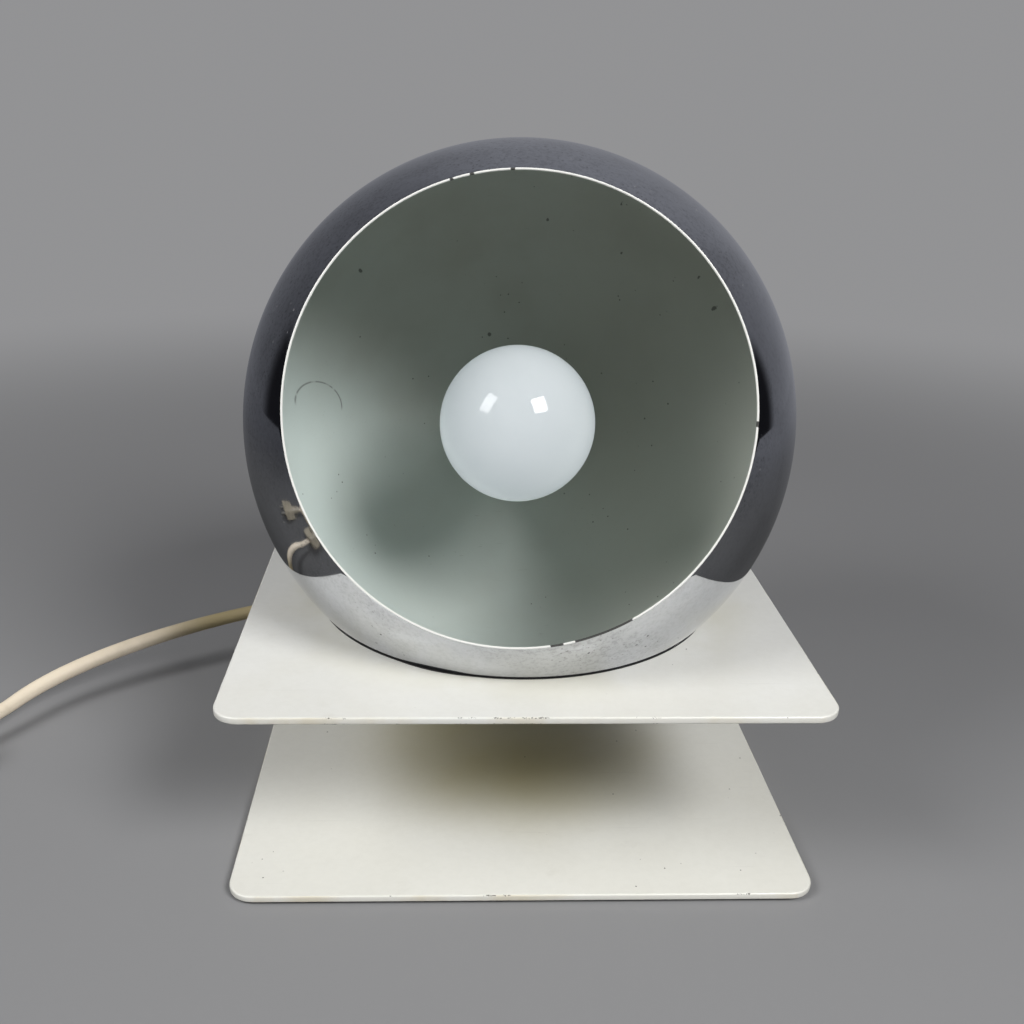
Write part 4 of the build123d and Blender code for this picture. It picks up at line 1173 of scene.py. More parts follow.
@dataclass
class Studio:
    """Pale floor, grey surroundings and two soft boxes."""

    floor_radius: float = 1.25
    floor_steps: int = 96
    floor_drop: float = 0.0002
    middle: Point = (0.0, 0.0, 0.12)
    distance: float = 1.3
    left_way: Point = (-0.715, -0.355, 0.602)
    right_way: Point = (0.460, -0.622, 0.634)
    left_side: float = 0.57
    right_side: float = 0.46
    left_power: float = 3.9
    right_power: float = 5.35
    beam: float = 110.0
    backdrop: Colour = (0.29, 0.29, 0.297)
    fill: Colour = (0.10, 0.10, 0.105)
    left_screen: tuple[float, float] = (0.76, 0.86)
    right_screen: tuple[float, float] = (0.86, 0.92)
    screen_top: tuple[float, float] = (0.30, 0.15)

    def build(self) -> None:
        """Make the floor, the world and the lamps."""
        bpy.context.scene.view_settings.view_transform = "Standard"
        mesh = bmesh.new()
        bmesh.ops.create_circle(mesh, cap_ends=True, segments=self.floor_steps, radius=self.floor_radius)
        data = mesh_data("floor", mesh)
        data.transform(Matrix.Translation((0, 0, -self.floor_drop)))
        data.materials.append(StudioPaper().material())
        add_object("floor", data)
        self._world()
        self._box("left_box", self.left_way, self.left_power, self.left_side)
        self._box("right_box", self.right_way, self.right_power, self.right_side)

    def _world(self) -> None:
        """Plain dim fill, a pale backdrop for the camera, and in reflections a wall with dark screens."""
        world = bpy.data.worlds.new("studio")
        world.use_nodes = True
        bpy.context.scene.world = world
        bench = Bench(world.node_tree)
        x, _, z = bench.axes(bench.node("ShaderNodeTexCoord", out="Generated"))
        screens = (0.0 - x).rise(*self.left_screen).top(x.rise(*self.right_screen)) * z.rise(*self.screen_top)
        wall = bench.mix(screens, studio_wall(bench, x), SCREEN)
        colour = bench.mix(bench.ray(Ray.GLOSSY), self.fill, wall)
        colour = bench.mix(bench.ray(Ray.CAMERA), colour, self.backdrop)
        light = bench.node("ShaderNodeBackground", sockets={"Color": colour, "Strength": 1.0})
        bench.node("ShaderNodeOutputWorld", sockets={"Surface": light})

    def _box(self, name: str, way: Point, power: float, side: float) -> None:
        """Set one square soft box that faces the lamp.

        Args:
            name: its name.
            way: the direction from the lamp to it.
            power: its power in watts.
            side: its side in metres.
        """
        data = bpy.data.lights.new(name, "AREA")
        data.shape = "SQUARE"
        data.size = side
        data.spread = math.radians(self.beam)
        data.energy = power
        made = add_object(name, data)
        ahead = Vector(way).normalized()
        made.location = Vector(self.middle) + ahead * self.distance
        made.rotation_euler = ahead.to_track_quat("Z", "Y").to_euler()


@dataclass
class CordRoute:
    """The lamp's cord: slack lead, run to the switch, and the put-away rest with its coil."""

    diameter: float = 0.0055
    gland_end: float = GLAND_END
    lead_straight: float = 0.023
    lead_split: float = 0.046
    bushing_inner: Vector = field(default_factory=lambda: Vector((-24.0, 89.5, 28.0)) * MM)
    wall_outside: Vector = field(default_factory=lambda: Vector((-36.0, 89.5, 28.0)) * MM)
    switch_entry: Vector = field(default_factory=lambda: Vector((-228.0, -12.0, 9.0)) * MM)
    switch_heading: float = 236.0
    switch_length: float = 0.058
    switch_grip: float = 0.008
    switch_straight: float = 0.020
    coil_heading: float = 212.0
    coil_straight: float = 0.020
    coil_bend: Point = (-0.2875, -0.092)
    coil_outer: float = 0.0405
    coil_pitch: float = 0.0062
    coil_layer: float = 0.0061
    coil_low: float = 0.00355
    coil_turns: int = 3
    points_per_turn: int = 24
    plug_heading: float = 66.0
    plug_straight: float = 0.017
    plug_start: Vector = field(default_factory=lambda: Vector((-317.0, 2.5, 7.5)) * MM)
    run_swell: tuple[float, ...] = (1.0, 1.0, 1.12, 1.22, 1.22, 1.0, 1.0)
    smoothness: int = 8
    round_steps: int = 5
    tube_sides: int = 20
    tube_crease: float = 40.0

    @staticmethod
    def heading(degrees: float) -> Vector:
        """A level direction."""
        return Vector((math.cos(math.radians(degrees)), math.sin(math.radians(degrees)), 0.0))

    def lead_points(self) -> list[Vector]:
        """Lay the slack lead from the ball's relief down behind the upright and into the bushing.

        Returns:
            The route's points.
        """
        aim = lamp_aim()
        start = ball_center() + aim * self.gland_end
        hand = [(13.0, 156.0, 66.0), (18.0, 152.0, 41.5), (22.0, 131.0, 27.0), (17.4, 110.5, 25.6),
                (3.6, 95.4, 26.8), (-9.0, 89.5, 28.0)]
        return [start, start - aim * self.lead_straight, *(Vector(p) * MM for p in hand), self.bushing_inner]

    def run_points(self) -> list[Vector]:
        """Lay the run from the bushing out to the left and down to the switch.

        Returns:
            The route's points.
        """
        run = self.heading(self.switch_heading)
        hand = [(-77.0, 89.5, 28.0), (-129.0, 79.0, 22.0), (-172.0, 56.5, 17.5), (-203.0, 31.0, 12.5)]
        return [self.bushing_inner, *(Vector(p) * MM for p in hand),
                self.switch_entry - run * self.switch_straight, self.switch_entry + run * self.switch_grip]

    def stored_points(self) -> list[Vector]:
        """Lay the rest from the switch into the coil, round it and out to the plug.

        Returns:
            The route's points.
        """
        run, inward = self.heading(self.switch_heading), self.heading(self.coil_heading)
        bend = Vector((*self.coil_bend, self.coil_low))
        entry = bend + inward * self.coil_straight
        link = [self.switch_entry + run * (self.switch_length - self.switch_grip),
                self.switch_entry + run * (self.switch_length + self.switch_straight), bend, entry]
        turns = self._turns(entry + inward * self.diameter)
        exit_way = inward * -1
        leave = turns[-1] + exit_way * self.diameter
        plug = self.heading(self.plug_heading)
        tail = [leave, leave + exit_way * (self.plug_straight - self.diameter / 2),
                self.plug_start - plug * self.plug_straight, self.plug_start]
        return [*link, *turns, *tail]

    def _turns(self, start: Vector) -> list[Vector]:
        """Wind the coil: in on the lower layer, up as it reverses, and out on the upper one.

        Args:
            start: where its first turn starts.

        Returns:
            The points of its turns.
        """
        half_turn, least = 0.5, 0.9
        angle_0 = math.radians(self.coil_heading + 90)
        center = start - Vector((math.cos(angle_0), math.sin(angle_0), 0.0)) * self.coil_outer
        inner = self.coil_outer - self.coil_pitch * self.coil_turns
        points = []
        for i in range(int((2 * self.coil_turns + half_turn) * self.points_per_turn) + 1):
            turn = i / self.points_per_turn
            back = min(max(turn - self.coil_turns, 0.0), half_turn)
            out = max(turn - self.coil_turns - half_turn, 0.0)
            radius = self.coil_outer - self.coil_pitch * min(turn, self.coil_turns)
            radius += self.coil_pitch * (2 * back**2 - back + out) if turn > self.coil_turns else 0.0
            angle = angle_0 - FULL_TURN * turn
            height = self.coil_low + self.coil_layer * (2 * back) ** 2 * (3 - 4 * back)
            flat = center + Vector((math.cos(angle), math.sin(angle), 0.0)) * max(radius, inner * least)
            points.append(Vector((flat.x, flat.y, height)))
        return points

    def curve(self, name: str, points: Sequence[Vector], thick: bool) -> bpy.types.Object:
        """Make a smooth line through space with the route's points as its control points.

        Args:
            name: the curve's name.
            points: the route.
            thick: whether it has the cord's thickness.

        Returns:
            The curve.
        """
        data = bpy.data.curves.new(name, "CURVE")
        data.dimensions = "3D"
        data.resolution_u = self.smoothness
        spline = data.splines.new("NURBS")
        spline.points.add(len(points) - 1)
        for control, point in zip(spline.points, points):
            control.co = (*point, 1.0)
        spline.order_u = 3
        spline.use_endpoint_u = True
        if thick:
            data.bevel_depth = self.diameter / 2
            data.bevel_resolution = self.round_steps
            data.use_fill_caps = True
        return add_object(name, data)

    def line(self, name: str, points: Sequence[Vector]) -> list[Vector]:
        """Read the points along a route's smooth line from its curve.

        Args:
            name: a name for the curve, which is removed again.
            points: the route.

        Returns:
            The points along the line.
        """
        thin = self.curve(name, points, thick=False)
        data = plain_mesh(thin)
        read = [v.co.copy() for v in data.vertices]
        bpy.data.objects.remove(thin)
        bpy.data.meshes.remove(data)
        return read

    def tube(self, path: Sequence[Vector]) -> bmesh.types.BMesh:
        """Make a closed tube of the cord's thickness along a path.

        Args:
            path: points along the cord's smooth line.

        Returns:
            The tube's mesh.
        """
        mesh = bmesh.new()
        way = (path[1] - path[0]).normalized()
        across = way.orthogonal().normalized()
        rings = []
        for i, point in enumerate(path):
            ahead = (path[min(i + 1, len(path) - 1)] - path[max(i - 1, 0)]).normalized()
            across = (across - ahead * across.dot(ahead)).normalized()
            beside = ahead.cross(across)
            rings.append([
                mesh.verts.new(point + (across * math.cos(a) + beside * math.sin(a)) * self.diameter / 2)
                for a in around(self.tube_sides)
            ])
        skin(mesh, rings)
        mesh.faces.new(rings[0])
        mesh.faces.new(rings[-1])
        bmesh.ops.recalc_face_normals(mesh, faces=mesh.faces)
        return mesh

    @staticmethod
    def length(path: Sequence[Vector]) -> float:
        """How long a path is."""
        return sum((b - a).length for a, b in zip(path, path[1:]))

    def build(self, fittings: "CordFittings") -> None:
        """Args:
            fittings: the switch, the tie and the plug on them; not used.
        """
        self._lead()
        run = self.curve("cord_run_line", self.run_points(), thick=True)
        for control, swell in zip(run.data.splines[0].points, self.run_swell):
            control.radius = swell
        stored = self.curve("cord_stored_line", self.stored_points(), thick=True)
        for made, nodes in ((run, ["cord_run"]), (stored, ["cord_link", "cord_coil", "cord_tail"])):
            made.data.materials.append(SHEATH.material())
            Shop.seat(made, Part.STAND, nodes)
        self._declare()

    def _declare(self) -> None:
        """Measure how long the run and the stored rest are.
        """
        run_length = self.length(self.line("run_measure", self.run_points()))
        stored_length = self.length(self.line("stored_measure", self.stored_points()))

    def _lead(self) -> None:
        """Split the slack lead into two tubes, an upper half towards the ball and a lower half towards the
        stand.
        """
        path = self.line("lead_measure", self.lead_points())
        falling = range(math.ceil(len(path) / 2))
        split = min(falling, key=lambda i: abs(path[i].z - self.lead_split))
        halves = (("lead_upper", path[:split + 1], Part.BALL, Part.SEAT),
                  ("lead_lower", path[split:], Part.SEAT, Part.STAND))
        for name, stretch, first, last in halves:
            data = mesh_data(name, self.tube(stretch))
            data.shade_smooth()
            data.set_sharp_from_angle(angle=math.radians(self.tube_crease))
            data.materials.append(SHEATH.material())
            made = add_object(name, data)
            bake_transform(made)
            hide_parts("ball_lead")
            self.length(stretch)
            log.info("%s bends between %s and %s", name, first.value, last.value)


@dataclass
class BallShade:
    """The chromed ball with its lacquered inside, and the tube, nuts and relief at its back."""

    radius: float = BALL_RADIUS
    wall: float = 0.0008
    mouth: float = MOUTH_RADIUS
    hole: float = TUBE_HOLE
    outer_steps: int = 150
    inner_steps: int = 110
    nose_steps: int = 8
    nose_margin: float = 0.0002
    crease: float = 60.0
    gland_end: float = GLAND_END
    nut_back: float = -0.105
    tube_back: float = -0.109
    tube_gap: float = 0.0002
    washer: float = 0.009
    washer_height: float = 0.001
    washer_edge: float = 0.0002
    washer_places: tuple[float, float] = (-0.101, -0.098791)
    nut_width: float = 0.014
    nut_height: float = 0.004
    nut_places: tuple[float, float] = (-0.105, -0.095291)
    relief_tip: float = RELIEF_TIP
    relief_root: float = 0.0070
    relief_edge: float = 0.0006
    relief_groove: float = 0.00045
    cord_bore: float = CORD_BORE

    @staticmethod
    def spindle() -> Spindle:
        """The lamp's axis through the ball's centre."""
        return Spindle(ball_center(), lamp_aim(), lamp_side())

    def build(self, repeater: Repeater) -> None:
        """Make the shell and what is fixed to its back.

        Args:
            repeater: what sets the nuts and washers.
        """
        self._shell()
        bore, back, tube = self.cord_bore, self.nut_back, self.tube_back - self.tube_gap
        relief = softened([(bore, self.gland_end), (self.relief_tip, self.gland_end),
                           (self.relief_root, back), (self.hole, back), (self.hole, tube), (bore, tube)],
                          self.relief_edge)
        boot = self.spindle().turned(grooved(relief, self.relief_groove, 4))
        Shop.piece("ball_relief_boot", boot, CREAM_PLASTIC, Part.BALL, ["ball_relief"])
        self._fasteners(repeater)
        Shop.dress("threaded_tube", ZINC)
        Shop.dress("holder_lead", SHEATH)
        Shop.dress("holder_wires", CORE_WIRE)

    def _fasteners(self, repeater: Repeater) -> None:
        """Set the washers on both faces of the wall, and the nuts that clamp them.

        Args:
            repeater: what sets them.
        """
        spindle = self.spindle()
        about = Spindle(ORIGIN, spindle.axis, spindle.side)
        ring = softened([(self.hole, 0.0), (self.washer, 0.0), (self.washer, self.washer_height),
                         (self.hole, self.washer_height)], self.washer_edge)
        nut = hex_nut(about, self.nut_width, self.nut_height, self.hole)
        for node, pattern, (first, second) in (("tube_washers", about.turned(ring), self.washer_places),
                                               ("tube_nuts", nut, self.nut_places)):
            start, step = spindle.origin + spindle.axis * first, spindle.axis * (second - first)
            repeater.pair(f"{node}_turned", pattern, start, step, ZINC, Part.BALL, [node])

    def _shell(self) -> None:
        """Turn the shell: fine outside and inside faces joined by a round edge."""
        outer, inner = self.radius, self.radius - self.wall
        middle, nose = 0.5 * (outer + inner), self.wall / 2
        edge = math.asin(self.mouth / outer)
        start = edge + nose / outer
        back_outer, back_inner = (math.pi - math.asin(self.hole / r) for r in (outer, inner))
        profile = arc((0, 0), outer, start, back_outer, self.outer_steps)
        profile += arc((0, 0), inner, back_inner, start, self.inner_steps)
        nose_middle = (middle * math.sin(start), middle * math.cos(start))
        profile += arc(nose_middle, nose, edge + math.pi, edge + FULL_TURN, self.nose_steps)[1:-1]
        mesh = self.spindle().turned(profile, FINE_STEPS)
        center, aim = ball_center(), lamp_aim()
        mouth_place = outer * math.cos(start) - self.nose_margin
        for face in mesh.faces:
            spot = face.calc_center_median() - center
            outside = spot.length > middle and spot.dot(aim) < mouth_place
            face.material_index = 0 if outside else 1
        data = mesh_data("ball_shade", mesh)
        for finish in (CHROME, INSIDE):
            data.materials.append(finish.material())
        Shop.data_piece("ball_shade", data, CHROME, Part.BALL, ["ball_shell"], self.crease)


@dataclass(frozen=True)
class Bore:
    """A round hole through a plate: its middle, and its radius at heights from below."""

    x: float
    y: float
    levels: tuple[tuple[float, float], ...]
    steps: int = 48

    def rings(self, mesh: bmesh.types.BMesh) -> list[list[bmesh.types.BMVert]]:
        """A ring of points in the mesh at each height."""
        return [[mesh.verts.new((self.x + radius * math.cos(a), self.y + radius * math.sin(a), height))
                 for a in around(self.steps)] for height, radius in self.levels]


@dataclass
class SeatRing:
    """The dark ring that the ball sits in, whose lip shows as a thin line and bulges in one place."""

    sphere: float = 0.1001
    lip: float = 0.0004
    wall: float = 0.00035
    brim: float = 0.00012
    brim_height: float = 0.00015
    face_steps: int = 6
    brim_share: float = 0.9
    bulge: float = 0.0005
    bulge_place: float = 246.0
    bulge_reach: float = 10.0

    def build(self) -> None:
        """Turn the ring."""
        low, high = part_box("seat_ring")
        center = ball_center()
        bulge_place, bulge_reach = math.radians(self.bulge_place), math.radians(self.bulge_reach)

        def face(level: float) -> float:
            """The seat's radius at a level, on a sphere just larger than the ball."""
            return math.sqrt(self.sphere**2 - (center.z - level) ** 2)

        def swell(radius: float, along: float, angle: float) -> float:
            """Widen the brim where the ring has crept out of its hole.

            Args:
                radius: the profile's radius.
                along: the height.
                angle: the angle about the axis.

            Returns:
                The radius to use.
            """
            if radius < outside + self.brim_share * self.brim:
                return radius
            away = abs(angle - bulge_place) / bulge_reach
            return radius + self.bulge * max(0.0, 1 - away**2)

        under = high.z - self.lip
        outside = face(under) + self.wall
        shown = under + self.brim_height
        rise = [low.z + (shown - low.z) * i / self.face_steps for i in range(self.face_steps + 1)]
        profile = [(face(z), z) for z in rise]
        profile += [(outside + self.brim, shown), (outside + self.brim, under), (outside, under),
                    (outside, low.z)]
        mesh = UPRIGHT.turned(profile, FINE_STEPS, swell)
        Shop.piece("seat_ring_turned", mesh, DARK_RUBBER, Part.SEAT, ["seat_ring"])


@dataclass
class Plates:
    """The two square plates, the felt, and the upright channel with its screws and bushing."""

    side: float = 0.2
    corner: float = 0.009
    edge: float = 0.0006
    corner_steps: int = 14
    edge_steps: int = 5
    crease: float = 80.0
    level_face: float = 0.9999
    screw_spacing: float = 0.040
    screw_head: float = 0.0076
    screw_shank: float = 0.004
    sink_depth: float = 0.0018
    sink_play: float = 0.00008
    ring_lip: float = 0.00135
    nut_width: float = 0.007
    nut_height: float = 0.0032
    nut_play: float = 0.00015
    upright_outside: float = 0.036
    sleeve: float = 0.0059
    flange_height: float = 0.002
    relief_root: float = 0.006
    relief_edge: float = 0.0007
    relief_groove: float = 0.0004
    bushing_nut_edge: float = 0.0004

    def build(self, repeater: Repeater) -> None:
        """Make everything that stands still.

        Args:
            repeater: what sets the screws and nuts.
        """
        for node, finish in (("base_plate", CREAM_BASE), ("top_plate", CREAM_TOP)):
            low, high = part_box(node)
            mesh = self._slab(low.z, high.z, self._bores(low.z, high.z, node == "top_plate"))
            made = Shop.piece(f"{node}_lacquered", mesh, finish, Part.STAND, [node], self.crease)
            for face in made.data.polygons:
                face.use_smooth = abs(face.normal.z) < self.level_face
        Shop.dress("base_pad", FELT)
        Shop.refined("rear_upright", CREAM_PLAIN, Part.STAND, self.edge)
        SeatRing().build()
        self._screws(repeater)
        self._bushing()

    def _bores(self, low: float, high: float, upper: bool) -> list[Bore]:
        """Place a plate's holes: two countersunk ones, and in the upper plate the ball's.

        Args:
            low: the height of its lower face.
            high: the height of its upper face.
            upper: whether it is the upper plate, with screws from above.

        Returns:
            The holes.
        """
        box_low, box_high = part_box("top_screws" if upper else "base_screws")
        wide, shank = self.screw_head / 2 + self.sink_play, self.screw_shank / 2 + self.sink_play
        if upper:
            levels = ((low, shank), (high - self.sink_depth, shank), (high, wide))
        else:
            levels = ((low, wide), (low + self.sink_depth, shank), (high, shank))
        middle = (box_low.y + box_high.y) / 2
        bores = [Bore(side * self.screw_spacing / 2, middle, levels) for side in (-1, 1)]
        if upper:
            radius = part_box("seat_ring")[1].x - self.ring_lip
            bores.append(Bore(0.0, 0.0, ((low, radius), (high, radius)), FINE_STEPS))
        return bores

    def _outline(self, inset: float) -> list[Point]:
        """Draw the plate's rounded square.

        Args:
            inset: how much smaller it is all round.

        Returns:
            Its points in order.
        """
        half, radius = self.side / 2 - inset, self.corner - inset
        points = []
        for quarter, (sign_x, sign_y) in enumerate(((1, 1), (-1, 1), (-1, -1), (1, -1))):
            for i in range(self.corner_steps + 1):
                a = quarter * QUARTER_TURN + QUARTER_TURN * i / self.corner_steps
                points.append((sign_x * (half - radius) + radius * math.cos(a),
                               sign_y * (half - radius) + radius * math.sin(a)))
        return points

    def _slab(self, low: float, high: float, bores: Sequence[Bore]) -> bmesh.types.BMesh:
        """Make a plate with rounded edges and round holes.

        Args:
            low: the height of its lower face.
            high: the height of its upper face.
            bores: its holes.

        Returns:
            The plate's mesh.
        """
        mesh = bmesh.new()
        quarter = [QUARTER_TURN * i / self.edge_steps for i in range(self.edge_steps + 1)]
        levels = [(self.edge * (1 - math.sin(a)), low + self.edge * (1 - math.cos(a))) for a in quarter]
        levels += [(inset, high - (level - low)) for inset, level in reversed(levels)]
        loops = [[mesh.verts.new((x, y, z)) for x, y in self._outline(inset)] for inset, z in levels]
        skin(mesh, loops)
        self._pierce(mesh, loops[0], loops[-1], bores)
        bmesh.ops.recalc_face_normals(mesh, faces=mesh.faces)
        return mesh

    @staticmethod
    def _pierce(mesh: bmesh.types.BMesh, lower: list, upper: list, bores: Sequence[Bore]) -> None:
        """Line the holes and fill the two faces round them.

        Args:
            mesh: the plate's mesh.
            lower: the points round its lower face.
            upper: the points round its upper face.
            bores: its holes.
        """
        faces = ([lower], [upper])
        for bore in bores:
            rings = bore.rings(mesh)
            skin(mesh, rings)
            faces[0].append(rings[0])
            faces[1].append(rings[-1])
        for loops in faces:
            edges = [mesh.edges.get(pair) for loop in loops for pair in looped(loop)]
            bmesh.ops.triangle_fill(mesh, use_beauty=True, use_dissolve=False, edges=edges)

    def _screws(self, repeater: Repeater) -> None:
        """Set slotted countersunk screws, and the nuts inside the channel.

        Args:
            repeater: what sets them.
        """
        first, step = -self.screw_spacing / 2, Vector((self.screw_spacing, 0, 0))
        for node, way in (("top_screws", -1.0), ("base_screws", 1.0)):
            low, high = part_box(node)
            start = Vector((first, (low.y + high.y) / 2, high.z if way < 0 else low.z))
            screw = slotted_head(self.screw_head / 2, self.sink_depth, high.z - low.z, way)
            repeater.pair(f"{node}_slotted", screw, start, step, ZINC, Part.STAND, [node])
        low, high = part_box("top_screws")
        nut_low, nut_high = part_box("upright_nuts")
        for name, level in (("lower", nut_low.z), ("upper", nut_high.z - self.nut_height)):
            start = Vector((first, (low.y + high.y) / 2, level))
            nut = hex_nut(UPRIGHT, self.nut_width, self.nut_height, self.screw_shank / 2 + self.nut_play)
            repeater.pair(f"upright_nuts_{name}", nut, start, step, ZINC, Part.STAND, ["upright_nuts"])

    def _bushing(self) -> None:
        """Turn the bushing in the upright's wall with its ringed relief."""
        low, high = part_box("cord_bushing")
        origin = Vector((0.0, (low.y + high.y) / 2, (low.z + high.z) / 2))
        spindle = Spindle(origin, -SIDEWAYS, UPWARD)
        flange, wall = (high.y - low.y) / 2, self.upright_outside
        front = wall + self.flange_height
        profile = softened([(CORD_BORE, -high.x), (self.sleeve, -high.x), (self.sleeve, wall), (flange, wall),
                            (flange, front), (self.relief_root, front), (RELIEF_TIP, -low.x),
                            (CORD_BORE, -low.x)], self.relief_edge)
        mesh = spindle.turned(grooved(profile, self.relief_groove, 5))
        Shop.piece("cord_bushing_turned", mesh, CREAM_PLASTIC, Part.STAND, ["cord_bushing"])
        Shop.refined("bushing_nut", CREAM_PLASTIC, Part.STAND, self.bushing_nut_edge)


def hex_nut(spindle: Spindle, width: float, height: float, bore: float) -> bmesh.types.BMesh:
    """Make one six-sided nut with its corners turned off at both faces.

    Args:
        spindle: the axis that it stands on, from its lower face.
        width: across its flats.
        height: from face to face.
        bore: its hole's radius.

    Returns:
        The nut's mesh.
    """
    lead_in, corner_cut, land_share = 0.0003, 0.14, 0.97
    half_side = math.pi / 6
    flat, cut = width / 2, height * corner_cut
    corner, land = flat / math.cos(half_side), flat * land_share

    def sides(radius: float, along: float, angle: float) -> float:
        """Keep the six flats inside the turned corners.

        Args:
            radius: the profile's radius.
            along: the distance along the axis.
            angle: the angle about it.

        Returns:
            The radius to use.
        """
        if radius < land:
            return radius
        away = abs((angle + half_side) % (2 * half_side) - half_side)
        return min(radius, flat / math.cos(half_side - away))

    profile = [(bore, lead_in), (bore + lead_in, 0.0), (land, 0.0), (corner, cut), (corner, height - cut),
               (land, height), (bore + lead_in, height), (bore, height - lead_in)]
    return spindle.turned(profile, ROUND_STEPS, sides)


def slotted_head(radius: float, depth: float, length: float, way: float) -> bmesh.types.BMesh:
    """Make one countersunk screw with a straight slot, its head's face at the origin.

    Args:
        radius: the head's radius.
        depth: the head's depth.
        length: the whole length.
        way: 1 if the shank runs up, -1 if down.

    Returns:
        The screw's mesh.
    """
    shank, point, half_slot, slot_depth = radius - depth, 0.0006, 0.00045, 0.0007
    face, rim, rim_depth, steps = radius - 0.0004, radius - 0.0002, 0.00015, 48
    spindle = Spindle(ORIGIN, UPWARD * way, SIDEWAYS)
    profile = [(0, 0), (face, 0), (rim, rim_depth), (shank, depth), (shank, length - point),
               (shank - point, length), (0, length)]
    mesh = spindle.turned(profile, steps)
    for x in (-half_slot, half_slot):
        geometry = [*mesh.verts, *mesh.edges, *mesh.faces]
        bmesh.ops.bisect_plane(mesh, dist=1e-8, geom=geometry, plane_co=(x, 0, 0), plane_no=(1, 0, 0))
    middles = [(f, f.calc_center_median()) for f in mesh.faces]
    cut = [f for f, spot in middles if abs(spot.z) < 1e-6 and abs(spot.x) < half_slot]
    sunk = bmesh.ops.extrude_face_region(mesh, geom=cut)
    moved = [v for v in sunk["geom"] if isinstance(v, bmesh.types.BMVert)]
    bmesh.ops.translate(mesh, verts=moved, vec=(0, 0, way * slot_depth))
    bmesh.ops.delete(mesh, geom=cut, context="FACES_ONLY")
    bmesh.ops.recalc_face_normals(mesh, faces=mesh.faces)
    # the extrusion leaves the slot's walls in a new order each run
    slanted = Vector((1.0, 1.37, 2.71))
    mesh.edges.sort(key=lambda e: slanted.dot(e.verts[0].co + e.verts[1].co))
    mesh.faces.sort(key=lambda f: slanted.dot(f.calc_center_median()))
    return mesh


@dataclass
class Lampholder:
    """The screw lampholder inside the ball, measured along the lamp's axis from the ball's centre."""

    back: float = -0.097791
    ledge: float = -0.079791
    joint: float = -0.073791
    front: float = -0.043791
    radius: float = 0.020
    wall: float = 0.0022
    hole: float = TUBE_HOLE
    cap_back: float = 0.012
    cap_bore: float = 0.0155
    cap_floor: float = 0.0025
    cap_floor_edge: float = 0.0109
    cap_slope: float = 0.006
    cap_edge: float = 0.0006
    cap_steps: int = 96
    body_bore: float = 0.0165
    body_play: float = 0.0002
    body_front: tuple[tuple[float, float], ...] = (
        (0.0192, 0.012), (0.0187, 0.0115), (0.0187, 0.0085), (0.0191, 0.008), (0.019, 0.0))
    body_edge: float = 0.0005
    body_steps: int = 144
    flutes: int = 36
    flute_ends: tuple[float, float] = (0.003, 0.0125)
    flute_inside: float = 0.018
    flute_depth: float = 0.0003
    core_edge: float = 0.0004
    contact_edge: float = 0.0001
    shell_bore: float = 0.0136
    shell_sheet: float = 0.0004
    shell_length: float = 0.026
    shell_rings: int = 70
    shell_wave: float = 0.0004
    shell_crease: float = 50.0

    def build(self, spindle: Spindle) -> None:
        """Make the cap, core, body, screw shell and contacts.

        Args:
            spindle: the lamp's axis.
        """
        radius, inside = self.radius, self.radius - self.wall
        slope, floor = self.back + self.cap_slope, self.back + self.cap_floor
        cap = softened([(self.hole, self.back), (self.cap_back, self.back), (radius, slope),
                        (radius, self.joint), (inside, self.joint), (inside, self.ledge),
                        (self.cap_bore, self.ledge), (self.cap_bore, slope), (self.cap_floor_edge, floor),
                        (self.hole, floor)], self.cap_edge)
        mesh = spindle.turned(cap, self.cap_steps)
        Shop.piece("holder_cap", mesh, WHITE_HOLDER, Part.BALL, ["lampholder_cap"])
        body = softened([(self.body_bore, self.joint), (radius - self.body_play, self.joint),
                         *((reach, self.front - behind) for reach, behind in self.body_front),
                         (self.body_bore, self.front)], self.body_edge)
        mesh = spindle.turned(body, self.body_steps, self._grips)
        Shop.piece("holder_body", mesh, WHITE_HOLDER, Part.BALL, ["lampholder_body"])
        Shop.refined("lampholder_core", CERAMIC, Part.BALL, self.core_edge)
        self._screw_shell(spindle)
        for node in ("terminal_screws", "centre_contact"):
            Shop.refined(node, BRASS, Part.BALL, self.contact_edge)

    def _grips(self, radius: float, along: float, angle: float) -> float:
        """Cut shallow flutes round the back half of the body.

        Args:
            radius: the profile's radius.
            along: the distance along the axis.
            angle: the angle about it.

        Returns:
            The radius to use.
        """
        held = self.joint + self.flute_ends[0] < along < self.front - self.flute_ends[1]
        depth = self.flute_depth if held and radius > self.flute_inside else 0.0
        return radius - depth * (0.5 + 0.5 * math.cos(self.flutes * angle))

    def _screw_shell(self, spindle: Spindle) -> None:
        """Turn the rolled brass thread that takes the bulb.

        Args:
            spindle: the lamp's axis.
        """
        length, count = self.shell_length, self.shell_rings
        places = [self.joint + length * i / count for i in range(count + 1)]
        inside = [(self.shell_bore, along) for along in places]
        outside = [(self.shell_bore + self.shell_sheet, along) for along in reversed(places)]

        def roll(radius: float, along: float, angle: float) -> float:
            """The sheet's radius on the rolled thread."""
            return radius + self.shell_wave + self.shell_wave * thread_wave(along, angle)

        mesh = spindle.turned([*inside, *outside], self.cap_steps, roll)
        Shop.piece("screw_shell_rolled", mesh, BRASS, Part.BALL, ["screw_shell"], self.shell_crease)


